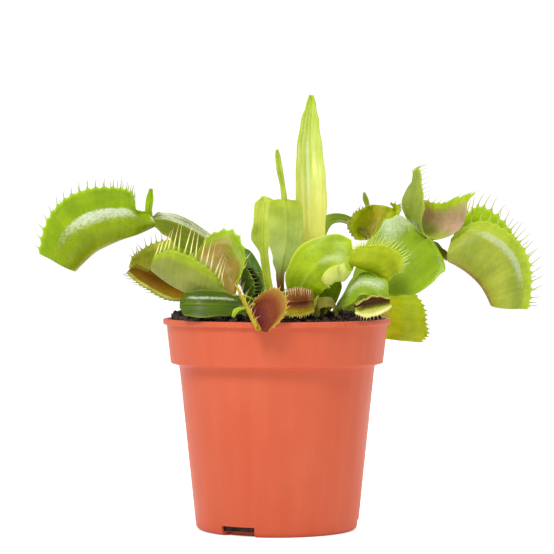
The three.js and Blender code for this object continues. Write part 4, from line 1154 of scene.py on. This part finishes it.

# %% [markdown]
# ## Paints of the leaves
#
# Leaves in the light are yellow-green. Leaves deep in the shade of others are a deep green, partly their
# own colour and partly painted shade. Some have a bluish wax. The traps' insides run from olive over orange
# to a dark red, because the glands colour up in strong light. Some rows also paint a pale highlight along a
# lobe's crease or a strip of the blade; a lobe's crease number is its strength.

# %% Paint table
LOOKS = {
    "far_left": {
        "blade": {"upper": "#7c8c18", "edge": "#98a83c", "foot": "#8aa32c"},
        "flap": {"upper": "#a4c010", "edge": "#a8c420", "foot": "#9cb414"},
        # A strong painted highlight runs along the crease.
        "lobes": {"outer": "#8ca30c", "band": "#92b006", "keel": "#a8ae42", "edge": "#b2cf36",
                  "inner": "#94aa20", "rim": "#9cbc1c", "tooth": "#a3b63c", "tip": "#8f6a58", "gloss": 0.2,
                  "crease": 0.9, "painted_highlight_width": 0.24},
    },
    "left_open": {
        "blade": {"upper": "#8fa53c", "under": "#7f9a2e", "edge": "#b5c24a"},
        "lobes": {"outer": "#a5a24a", "band": "#aeb63a", "keel": "#9a9040", "edge": "#9aa234",
                  "inner": "#b08a2c", "root": "#8c5c14", "rim": "#b4b24c", "rim_from": 0.45,
                  "inner_right": "#ece48c", "root_right": "#b89c3c", "rim_right": "#c4c860",
                  "tooth": "#c8a880", "tip": "#7c404c", "crease": 0.1},
    },
    "left_low": {
        "blade": {"upper": "#a9b03c", "edge": "#c9cf50"},
        "lobes": {"outer": "#98a464", "band": "#b0c43a", "keel": "#a6ae58", "edge": "#b9d24a",
                  "inner": "#a48c4c", "root": "#946850", "rim": "#98b418", "rim_from": 0.76, "rim_to": 0.98,
                  "tooth": "#f6efc0", "tip": "#e4c49c", "gloss": 0.36, "shade": "#ccd6a8"},
    },
    "left_blade": {
        # A thin painted highlight runs along the blade.
        "blade": {"upper": "#4e6606", "under": "#4c6c0a", "edge": "#7c9c1e", "gloss": 0.3, "foot": "#587a14",
                  "painted_highlight": (0.7, 0.3, 0.9, 2.4, 1.1)},
    },
    "small_curl": {
        "blade": {"upper": "#b0c830", "under": "#a8c030", "edge": "#bcd04c"},
    },
    "dark_trap": {
        "blade": {"upper": "#4f7012", "under": "#4a6a14", "edge": "#7a9a3a"},
        # The whole trap is painted dark and its inside near black: painted shade, for a trap deep among the
        # others.
        "lobes": {"outer": "#5a7a26", "band": "#6f8c34", "keel": "#6c8a3c", "edge": "#8ea45c",
                  "inner": "#1f2410", "rim": "#46601e", "tooth": "#a8a878", "tip": "#a08874"},
    },
    "front_red": {
        "blade": {"upper": "#a8a548", "edge": "#c9c25a"},
        "lobes": {"outer": "#b9ae44", "band": "#cfc858", "keel": "#a06a34", "edge": "#bfae48",
                  "inner": "#84403a", "root": "#68263a", "gland": "#5f1f30", "glands": 0.4, "rim": "#a8824a",
                  "rim_from": 0.62, "rim_to": 1.08, "inner_right": "#c2b04a", "rim_right": "#cfc858",
                  "root_right": "#b08a40", "tooth": "#e0d488", "tip": "#d9b080", "shade": "#d8b8a8",
                  "gloss": 0.5, "coat": 0.0, "specular": 0.15},
    },
    "front_mouth": {
        "blade": {"upper": "#a8a548", "edge": "#c9c25a"},
        "lobes": {"outer": "#b07c3c", "band": "#a8843c", "keel": "#9a6a3c", "edge": "#a88a40",
                  "inner": "#e0b094", "root": "#b4704c", "rim": "#d8a878", "inner_right": "#a89a34",
                  "root_right": "#7a3418", "rim_right": "#a8ac42", "rim_from": 0.5, "rim_to": 1.0,
                  "gland": "#742c1c", "tooth": "#f8e4d0", "tip": "#f0ccb8", "shade": "#d0b898"},
    },
    "front_curl": {
        "blade": {"upper": "#8b9a30", "edge": "#a8b048"},
        # The inside of the curl is painted dark brown: painted shade in the hollow.
        "lobes": {"outer": "#7e7a48", "band": "#726c4c", "keel": "#8c8a48", "edge": "#8c865c",
                  "inner": "#4a3030", "rim": "#55442a", "gloss": 0.6, "coat": 0.0, "specular": 0.1,
                  "tooth": "#a08a50", "tip": "#7a5a40"},
    },
    "center_blue": {
        "blade": {"upper": "#b4c4a4", "edge": "#bccb80", "tip": "#b9c93e", "tip_from": 0.3,
                  "tip_share": 1.0, "foot": "#6c4434", "foot_from": 0.14, "foot_to": 0.38, "streaks": 0.12,
                  "gloss": 0.5, "coat": 0.0},
        "flap": {"upper": "#c2d072", "under": "#b8c860", "edge": "#b6c66a", "foot": "#a9ba5c", "gloss": 0.5,
                 "coat": 0.0},
    },
    "center_young": {
        "blade": {"upper": "#d4dc90", "under": "#ccd680", "edge": "#d8e08c", "foot": "#c2cc50", "gloss": 0.5,
                  "coat": 0.0},
    },
    "tall": {
        # A painted highlight streaks the upper face.
        "blade": {"upper": "#ececdc", "under": "#ccd488", "edge": "#b0c83c", "streaks": 0.75, "rib": 0.0,
                  "foot": "#dcdaa8", "foot_from": 0.25, "foot_to": 0.7, "tip": "#b4c85c", "tip_from": 0.55,
                  "tip_share": 1.0, "gloss": 0.18, "painted_highlight": (0.8, 0.35, 0.8, -0.8, 1.6), "through": 0.3,
                  "shade": "#e2e6b4"},
    },
    "center_broad": {
        # A soft painted highlight lies over the middle of the blade.
        "blade": {"upper": "#a6be1c", "under": "#fafcd4", "edge": "#d0d878", "foot": "#7fa010",
                  "streaks": 0.1, "painted_highlight": (0.35, 0.45, 0.85, 0, 4)},
        "lobes": {"outer": "#a0b01c", "band": "#b9c63a", "keel": "#8fa018", "edge": "#cbd55a",
                  "inner": "#a4ae2c", "rim": "#b4c43c", "tooth": "#dbe286", "tip": "#e4e9ae", "gloss": 0.55,
                  "coat": 0.0},
    },
    "right_low": {
        # A painted highlight lies along the blade.
        "blade": {"upper": "#98b83c", "under": "#8fb020", "edge": "#bcc964", "gloss": 0.2,
                  "painted_highlight": (0.7, 0.3, 0.95, -1, 6)},
        # The root by the hinge and the upper lobe's inside are dark brown: partly the trap's own red-brown,
        # partly painted shade in its narrow mouth.
        "lobes": {"outer": "#98b020", "band": "#a4b43c", "keel": "#5f3a32", "edge": "#d8ccb0",
                  "inner": "#dce094", "root": "#64402c", "rim": "#f4f0dc", "rim_from": 0.5, "rim_to": 0.9,
                  "inner_right": "#4c2a1c", "rim_right": "#7a7024", "tooth": "#a87c6c", "tip": "#74343c"},
    },
    "right_upper": {
        # A broad painted highlight lies over one half of the blade.
        "blade": {"upper": "#96b222", "under": "#8fb02c", "edge": "#abc544", "gloss": 0.22,
                  "painted_highlight": (0.6, 0.4, 1.0, -15, 13)},
        "lobes": {"outer": "#98ac58", "band": "#a8b864", "keel": "#64740c", "edge": "#b4c640",
                  "inner": "#c8a4c8", "root": "#a8b864", "rim": "#b4cc38", "rim_from": 0.72, "rim_to": 0.96,
                  "tooth": "#c4c49a", "tip": "#b09690"},
    },
    "far_right": {
        "blade": {"upper": "#7c9408", "under": "#7a9a14", "edge": "#97ad38", "tip": "#8a6a3c",
                  "tip_from": 0.5, "tip_share": 1.0},
        # A painted highlight runs along the crease.
        "lobes": {"outer": "#a6b25c", "band": "#b0c050", "keel": "#94703a", "edge": "#b9cc50",
                  "inner": "#a8bc20", "rim": "#acc81c", "tooth": "#c4cc74", "tip": "#ac8484", "crease": 0.6,
                  "painted_highlight_width": 0.2},
    },
    "back_right": {
        "blade": {"upper": "#86a024", "edge": "#a8b860", "tip": "#a88c58", "tip_from": 0.7,
                  "tip_share": 1.0},
        "lobes": {"outer": "#b0bc10", "band": "#b4c418", "keel": "#98983c", "edge": "#aab834",
                  "inner": "#b4b81c", "root": "#b8a840", "rim": "#b4c020", "inner_right": "#b0c020",
                  "root_right": "#b4b830", "tooth": "#e4c0a0", "tip": "#a86a60", "crease": 0.1},
    },
    "back_hanging": {
        "blade": {"upper": "#8fae2c", "edge": "#b0c450"},
        "lobes": {"outer": "#b8c834", "band": "#c2d23c", "keel": "#b0a850", "edge": "#b4c838",
                  "inner": "#a0b028", "rim": "#a8bc30", "tooth": "#b0c050", "tip": "#a8a068"},
    },
    "shaded": {
        "blade": {"upper": "#849c10", "edge": "#84982c"},
    },
    "back_left": {
        "blade": {"upper": "#4f7418", "under": "#567c20", "edge": "#7a9c40"},
        "lobes": {"outer": "#7f9c28", "band": "#93b030", "keel": "#a0a444", "edge": "#a9bb48",
                  "inner": "#94563a", "rim": "#93a834", "tooth": "#c8bd7c", "tip": "#8f4f4c", "crease": 0.1},
    },
    "back_low": {
        "blade": {"upper": "#8aac2a", "under": "#86a434", "edge": "#b5c65a"},
        "lobes": {"outer": "#98b02c", "band": "#a8be38", "keel": "#acb048", "edge": "#b9c850",
                  "inner": "#a06c44", "rim": "#a0b438", "tooth": "#c6c07c", "tip": "#9c6258", "crease": 0.1},
    },
}

# %% [markdown]
# ## Growing the leaves
#
# Each leaf becomes one piece: the petiole, and where its row has them a trap with two combs, trigger hairs
# and a flap. The combs draw their small differences from a seeded generator, a new seed for each leaf, so a
# leaf stays the same when another one is changed.

# %% Make every leaf
for number, (name, leaf) in enumerate(LEAVES.items()):
    rng = np.random.default_rng(number)
    look = LOOKS[name]
    parts = [petiole_part(leaf["petiole"])]
    materials = [petiole_finish(f"{name} petiole", look["blade"])]
    if "trap" in leaf:
        shape = leaf["trap"]
        parts.append(trap_part(shape))
        for side in (-1, 1):
            parts.append(comb_part(shape, side, rng))
            if "hairs" in shape:
                parts.append(hairs_part(shape, side))
        fold = shape.get("crease", CREASE)
        materials.append(trap_finish(f"{name} lobes", look["lobes"], fold))
        materials.append(tooth_finish(f"{name} teeth", look["lobes"]))
    if "flap" in leaf:
        parts.append(petiole_part(leaf["flap"], first_share=0.5, finish=len(materials)))
        materials.append(petiole_finish(f"{name} flap", look.get("flap", look["blade"])))
    make_piece(f"{name}_leaf", parts, materials, leaf["slot"], f"leaf_{name}")

# %% [markdown]
# ## The pot
#
# A nursery pot is one thin shell of moulded plastic. Its wall is a profile turned about the upright axis,
# with real radii at the foot, the shoulder and the lip. Outside and inside are one line, so the grid closes
# on itself. The drainage notches take some squares out of the grid, at the same steps of the outer and the
# inner line, and short walls join the two, so the cut has the plastic's own thickness and needs no boolean.

# %% Turn the pot
RIM_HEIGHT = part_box("pot")[1].z
LIP_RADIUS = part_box("pot")[1].x
LIP_HEIGHT = 2.1 * MM
WALL = 0.9 * MM
FLOOR = 1.6 * MM
FOOT_RADIUS = 30.2 * MM
FOOT_CORNER = 2.2 * MM
SHOULDER = (36.8 * MM, 61.2 * MM)
COLLAR_FOOT = (39.8 * MM, 62.6 * MM)
COLLAR_TOP = 41.2 * MM
NOTCHES = [math.radians(-118.5 + 120 * k) for k in range(3)]
NOTCH_WIDTH = 13.5 * MM
NOTCH_HEIGHT = 3.7 * MM
NOTCH_INNER = 26.0 * MM


def arc(centre, radius, start, end, steps=5):
    """Points of a circle's arc between two angles in degrees."""
    turn = np.radians(np.linspace(start, end, steps))
    return np.stack([centre[0] + radius * np.cos(turn), centre[1] + radius * np.sin(turn)], -1)


def line(start, end, steps):
    """Evenly spaced points from start up to, and without, end."""
    share = np.linspace(0, 1, steps, endpoint=False)[:, None]
    return np.array(start) + (np.array(end) - np.array(start)) * share


def pot_part():
    """The profile runs from the middle of the underside out, up the wall, over the lip, down the inside and
    back to the middle of the floor; each of its points is carried round the axis."""
    slope = (SHOULDER[0] - FOOT_RADIUS) / SHOULDER[1]
    corner_x = FOOT_RADIUS + slope * FOOT_CORNER - FOOT_CORNER
    lip_foot = RIM_HEIGHT - LIP_HEIGHT
    edge = 0.45 * MM
    cut_top = (FOOT_RADIUS + slope * NOTCH_HEIGHT, NOTCH_HEIGHT)
    outside = [
        line((0.0, 0.0), (NOTCH_INNER, 0.0), 4),
        line((NOTCH_INNER, 0.0), (corner_x, 0.0), 3),
        arc((corner_x, FOOT_CORNER), FOOT_CORNER, -90, -4, 6),
        line(cut_top, (SHOULDER[0] - 0.3 * MM, SHOULDER[1] - 0.6 * MM), 26),
        arc((SHOULDER[0] + 0.6 * MM, SHOULDER[1] - 0.5 * MM), 0.8 * MM, 175, 110, 4),
        arc((COLLAR_FOOT[0] - 0.7 * MM, COLLAR_FOOT[1] + 0.1 * MM), 0.7 * MM, -60, 0, 4),
        line((COLLAR_FOOT[0], COLLAR_FOOT[1] + 0.4 * MM), (COLLAR_TOP, lip_foot - 0.4 * MM), 10),
        arc((COLLAR_TOP + 0.5 * MM, lip_foot - 0.3 * MM), 0.5 * MM, 175, 95, 4),
        arc((LIP_RADIUS - edge, lip_foot + edge), edge, -90, 0),
        arc((LIP_RADIUS - edge, RIM_HEIGHT - edge), edge, 0, 90),
        arc((LIP_RADIUS - 1.3 * MM, RIM_HEIGHT - edge), edge, 90, 170),
    ]
    notch_rows = 3 + 6
    inside = [
        line((COLLAR_TOP - WALL, lip_foot - 1.0 * MM), (COLLAR_FOOT[0] - WALL, COLLAR_FOOT[1] + MM), 6),
        line((SHOULDER[0] - WALL, SHOULDER[1] - 0.4 * MM), (cut_top[0] - WALL, NOTCH_HEIGHT), 20),
        line((cut_top[0] - WALL, NOTCH_HEIGHT), (FOOT_RADIUS - WALL, FLOOR), notch_rows - 3),
        line((FOOT_RADIUS - WALL, FLOOR), (NOTCH_INNER, FLOOR), 3),
        line((NOTCH_INNER, FLOOR), (0.0, FLOOR), 4),
        [(0.0, FLOOR)],
    ]
    profile = np.concatenate(outside + inside)
    rows = len(profile)
    half = NOTCH_WIDTH / 2 / FOOT_RADIUS
    turns = np.sort(np.concatenate([
        np.linspace(0, 2 * np.pi, 180, endpoint=False),
        np.concatenate([[a - half, a + half] for a in NOTCHES]) % (2 * np.pi),
    ]))
    columns = len(turns)
    sway = 0.08 * MM * np.sin(2 * turns + 0.8) + 0.05 * MM * np.sin(5 * turns)
    radius = profile[:, :1] + sway * smoothstep(profile[:, :1], 0.01, 0.03)
    points = np.stack([radius * np.cos(turns), radius * np.sin(turns),
                       np.broadcast_to(profile[:, 1:], radius.shape)], -1)
    i, j = np.meshgrid(np.arange(1, rows - 2), np.arange(columns), indexing="ij")
    after = (j + 1) % columns
    quads = np.stack([i * columns + j, i * columns + after, (i + 1) * columns + after,
                      (i + 1) * columns + j], -1)
    middle = (turns + np.diff(np.append(turns, turns[0] + 2 * np.pi)) / 2)
    away = np.abs((middle[:, None] - np.array(NOTCHES)[None] + np.pi) % (2 * np.pi) - np.pi)
    cut = (away < half).any(axis=1)
    first, last = 4, 4 + notch_rows
    top, bottom = rows - 5 - notch_rows, rows - 5
    gone = cut[None, :] & (((i >= first) & (i < last)) | ((i >= top) & (i < bottom)))
    faces = [quads[~gone]]
    numbers = np.arange(rows * columns).reshape(rows, columns)
    jambs = []
    for k in np.nonzero(cut)[0]:
        a, b = k, (k + 1) % columns
        jambs.append([numbers[last, a], numbers[last, b], numbers[top, b], numbers[top, a]])
        jambs.append([numbers[first, b], numbers[first, a], numbers[bottom, a], numbers[bottom, b]])
        for side, column in ((-1, a), (1, b)):
            if cut[(k + side) % columns]:
                continue
            for n in range(notch_rows):
                wall = [numbers[first + n, column], numbers[first + n + 1, column],
                        numbers[bottom - n - 1, column], numbers[bottom - n, column]]
                jambs.append(wall if side < 0 else wall[::-1])
    faces.append(np.array(jambs))
    around = np.arange(columns)
    for ring, centre, turned in ((1, 0, True), (rows - 2, (rows - 1) * columns, False)):
        fan = np.stack([ring * columns + around, ring * columns + (around + 1) % columns,
                        np.full(columns, centre)], -1)
        faces.append(fan[:, ::-1] if turned else fan)
    used = np.zeros(rows * columns, bool)
    for f in faces:
        used[f.ravel()] = True
    new = np.cumsum(used) - 1
    return plain_part(points.reshape(-1, 3)[used], [new[f] for f in faces])


# %% [markdown]
# ## Pot plastic
#
# Terracotta-coloured polypropylene: a satin skin, never quite even. Flow from the mould leaves faint
# upright streaks, handling leaves dull patches, and peat dust sits thickest at the lip. The colour
# shifts only a little, because the pigment is all through the plastic.

# %% Pot finish
def plain_material(name):
    """A material with one Principled shader, and its Object coordinates."""
    material = bpy.data.materials.new(name)
    material.use_nodes = True
    tree = material.node_tree
    skin = tree.nodes["Principled BSDF"]
    where = tree.nodes.new("ShaderNodeTexCoord").outputs["Object"]
    return material, tree, skin, where


def pot_finish():
    """Streaks drawn out along the height, cloudy dull patches, fine grain, and dust that thickens towards
    the lip."""
    material, tree, skin, where = plain_material("pot plastic")
    streaks = noise(tree, scaled(tree, where, (160, 160, 9)), 1.0, 3.0)
    clouds = noise(tree, where, 35.0, 4.0, 0.6)
    grain = noise(tree, where, 2400.0, 2.0)
    specks = ease(tree, noise(tree, where, 420.0, 3.0, 0.65), 0.66, 0.74)
    height = tree.nodes.new("ShaderNodeSeparateXYZ")
    tree.links.new(where, height.inputs[0])
    near_lip = ease(tree, height.outputs["Z"], RIM_HEIGHT - 4 * MM, RIM_HEIGHT)
    colour = blend_colour(tree, ease(tree, streaks, 0.35, 0.65), "#d16040", "#d56444")
    colour = blend_colour(tree, ease(tree, clouds, 0.4, 0.75, 0.0, 0.35), colour, "#d87050")
    dust = math_node(tree, "MULTIPLY", specks, ease(tree, near_lip, 0.0, 1.0, 0.12, 0.85))
    colour = blend_colour(tree, dust, colour, "#6d4636")
    relief = math_node(tree, "ADD", streaks, math_node(tree, "MULTIPLY", grain, 0.25))
    dress(tree, skin, colour, ease(tree, clouds, 0.3, 0.8, 0.36, 0.52),
          bump_normal(tree, relief, 0.05 * MM, 0.5))
    skin.inputs["Specular IOR Level"].default_value = 0.15
    skin.inputs["Subsurface Weight"].default_value = 0.12
    skin.inputs["Subsurface Radius"].default_value = (1.0, 0.35, 0.2)
    skin.inputs["Subsurface Scale"].default_value = 0.8 * MM
    return material


pot = make_piece("nursery_pot", [pot_part()], [pot_finish()], "pot_plastic", "pot")
pot.data.set_sharp_from_angle(angle=math.radians(40))

# %% [markdown]
# ## Peat
#
# Peat is crumbs stuck to crumbs. The bed is a turned body whose top is a height field: two heaps, broad
# lumps, and finer ones that shrink in size and height by a fixed share each time. Loose crumbs of a few
# dozen faces lie on it. They are merged into the same piece, so no instances are left for the export to
# lose.

# %% Fill the pot
SOIL_LEVEL = 78.2 * MM
HEAPS = ((-29, -6, 4.6, 11), (24.5, -15.5, 4.4, 6))        # x, y, height and spread of each, in millimetres
SOIL_RADIUS = 39.6 * MM
CRUMB_COUNT = 900
CRUMB_SEED = 7


def soil_height(x, y):
    """The level, bell-shaped heaps, and lumps: sums of crossed sines, each pair finer and lower than the
    last."""
    lumps = np.sin(550 * x + 1.3) * np.sin(620 * y + 0.4) + 0.6 * np.sin(230 * x - 310 * y)
    height = SOIL_LEVEL + 0.55 * MM * lumps
    for heap_x, heap_y, rise, spread in HEAPS:
        far = np.hypot(x / MM - heap_x, y / MM - heap_y) / spread
        height = height + rise * MM * np.exp(-far ** 2)
    for k in range(4):
        pitch = 900 * 1.9 ** k
        turn = 0.7 + 1.1 * k
        a = x * math.cos(turn) + y * math.sin(turn)
        b = y * math.cos(turn) - x * math.sin(turn)
        ripple = np.sin(pitch * a + 2 * np.sin(0.6 * pitch * b))
        height = height + 0.42 * MM / 1.6 ** k * ripple * np.sin(pitch * b)
    return height


def bed_part(rings=130, sectors=260):
    """Rings of the top from the middle out, then the side down to the pot's floor, closed by one point at
    each end."""
    share = np.linspace(0, 1, rings + 1)[1:] ** 0.8
    turn = np.linspace(0, 2 * np.pi, sectors, endpoint=False)
    x, y = (SOIL_RADIUS * share[:, None] * f(turn) for f in (np.cos, np.sin))
    top = np.stack([x, y, soil_height(x, y)], -1)
    slope = (SHOULDER[0] - FOOT_RADIUS) / SHOULDER[1]
    bottom = FLOOR + 0.3 * MM
    levels = [(39.2 * MM, 66 * MM), (35.2 * MM, 60 * MM), (FOOT_RADIUS - 1.5 * MM + slope * bottom, bottom)]
    side = np.array([np.stack([r * np.cos(turn), r * np.sin(turn), np.full(sectors, z)], -1)
                     for r, z in levels])
    ends = [[0, 0, soil_height(0.0, 0.0)], [0, 0, bottom]]
    points = np.concatenate([np.concatenate([top, side]).reshape(-1, 3), ends])
    return plain_part(points, turned_faces(rings + len(levels), sectors))


def crumbs_part(count, rng):
    """Crumbs are small balls of rings and sectors, each point pushed in or out at random, laid on the
    bed."""
    rings, sectors = 5, 7
    rise = np.linspace(0, np.pi, rings + 2)[1:-1]
    turn = np.linspace(0, 2 * np.pi, sectors, endpoint=False)
    ball = np.stack([np.outer(np.sin(rise), np.cos(turn)), np.outer(np.sin(rise), np.sin(turn)),
                     np.outer(np.cos(rise), np.ones(sectors))], -1).reshape(-1, 3)
    ball = np.concatenate([ball, [[0, 0, 1], [0, 0, -1]]])
    radius = SOIL_RADIUS * 0.985 * np.sqrt(rng.uniform(0, 1, count))
    angle = rng.uniform(0, 2 * np.pi, count)
    x, y = radius * np.cos(angle), radius * np.sin(angle)
    size = MM * rng.uniform(0.35, 1.25, count) ** 1.3
    shape = size[:, None, None] * rng.uniform(0.6, 1.15, (count, 1, 3))
    shape = shape * rng.uniform(0.75, 1.15, (count, len(ball), 1))
    at = np.stack([x, y, soil_height(x, y) + 0.35 * size], -1)
    points = at[:, None] + ball[None] * shape
    shift = (np.arange(count) * len(ball))[:, None, None]
    faces = [(f + shift).reshape(-1, f.shape[1]) for f in turned_faces(rings, sectors)]
    return plain_part(points.reshape(-1, 3), faces)


def peat_finish():
    """Dark brown with a reddish cast, lighter fibres, and a rough, matt, crumbly skin."""
    material, tree, skin, where = plain_material("peat")
    clods = noise(tree, where, 320.0, 4.0, 0.7)
    fibres = ease(tree, noise(tree, scaled(tree, where, (900, 260, 500)), 1.0, 2.0), 0.6, 0.72)
    colour = blend_colour(tree, ease(tree, clods, 0.32, 0.68), "#1d120e", "#4a3530")
    colour = blend_colour(tree, math_node(tree, "MULTIPLY", fibres, 0.5), colour, "#6e5446")
    relief = math_node(tree, "ADD", clods, noise(tree, where, 1500.0, 3.0, 0.7))
    dress(tree, skin, colour, ease(tree, clods, 0.3, 0.7, 0.95, 0.75), bump_normal(tree, relief, 0.5 * MM))
    skin.inputs["Specular IOR Level"].default_value = 0.25
    return material


rng = np.random.default_rng(CRUMB_SEED)
make_piece("peat_bed", [bed_part(), crumbs_part(CRUMB_COUNT, rng)], [peat_finish()], "peat", "soil")

# %% [markdown]
# ## Rhizomes
#
# The leaves grow from two short underground stems. Their tops stand about 3 mm clear of the peat, wrapped in
# the feet of old leaves, so the form is a blunt bud with spiral ridges.

# %% Two rhizomes
def rhizome_part(low, high, rows=30, sectors=60):
    """A bud turned about its own upright axis: a rounded profile, with ridges that climb in a spiral."""
    centre = (np.array(low) + np.array(high)) / 2
    size = (high[0] - low[0]) / 2
    rise = np.linspace(0, np.pi, rows + 2)[1:-1, None]
    turn = np.linspace(0, 2 * np.pi, sectors, endpoint=False)[None, :]
    ridge = 1 - 0.07 * (0.5 + 0.5 * np.cos(5 * turn + 4 * rise)) ** 2
    radius = size * 0.93 * np.sin(rise) ** 0.6 * ridge
    height = (high[2] - low[2]) / 2 * np.cos(rise) * 0.98
    points = np.stack([centre[0] + radius * np.cos(turn), centre[1] + radius * np.sin(turn),
                       centre[2] + np.broadcast_to(height, radius.shape)], -1).reshape(-1, 3)
    ends = [[centre[0], centre[1], high[2]], [centre[0], centre[1], low[2]]]
    return plain_part(np.concatenate([points, ends]), turned_faces(rows, sectors))


def rhizome_finish():
    """Olive and brown patches with dark flecks, and a soft sheen."""
    material, tree, skin, where = plain_material("rhizome")
    patches = use_group(tree, PATCHES, where)
    colour = blend_colour(tree, patches["Patches"], "#8c9654", "#6f5f48")
    colour = blend_colour(tree, math_node(tree, "MULTIPLY", patches["Flecks"], 0.5), colour, "#3d2b20")
    dress(tree, skin, colour, ease(tree, patches["Patches"], 0.0, 1.0, 0.45, 0.7),
          bump_normal(tree, patches["Cells"], 0.2 * MM))
    return material


rhizome_paint = rhizome_finish()
for side in ("left", "right"):
    bud = rhizome_part(*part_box(f"rhizome_{side}"))
    make_piece(f"{side}_rhizome", [bud], [rhizome_paint], "rhizome", f"rhizome_{side}")

# %% [markdown]
# ## Floor
#
# A plain white sheet that runs far behind the plant, so that no edge of it shows. It belongs to the studio
# and not to the plant.

# %% Lay the floor
FLOOR_SPREAD = 8.0

sheet_mesh = bpy.data.meshes.new("floor")
corners = [(x * FLOOR_SPREAD, y * FLOOR_SPREAD, 0) for x, y in ((-1, -1), (1, -1), (1, 1), (-1, 1))]
sheet_mesh.from_pydata(corners, [], [(0, 1, 2, 3)])
floor_paint, floor_tree, floor_skin, _ = plain_material("floor")
floor_skin.inputs["Base Color"].default_value = paint("#f4f4f4")
floor_skin.inputs["Roughness"].default_value = 0.9
floor_skin.inputs["Specular IOR Level"].default_value = 0.0
floor_skin.inputs["Emission Color"].default_value = paint("#ffffff")
seen = floor_tree.nodes.new("ShaderNodeLightPath")
floor_tree.links.new(ease(floor_tree, seen.outputs["Is Camera Ray"], 0.0, 1.0, 0.0, 0.5),
                     floor_skin.inputs["Emission Strength"])
sheet_mesh.materials.append(floor_paint)
floor = bpy.data.objects.new("floor", sheet_mesh)
bpy.context.scene.collection.objects.link(floor)
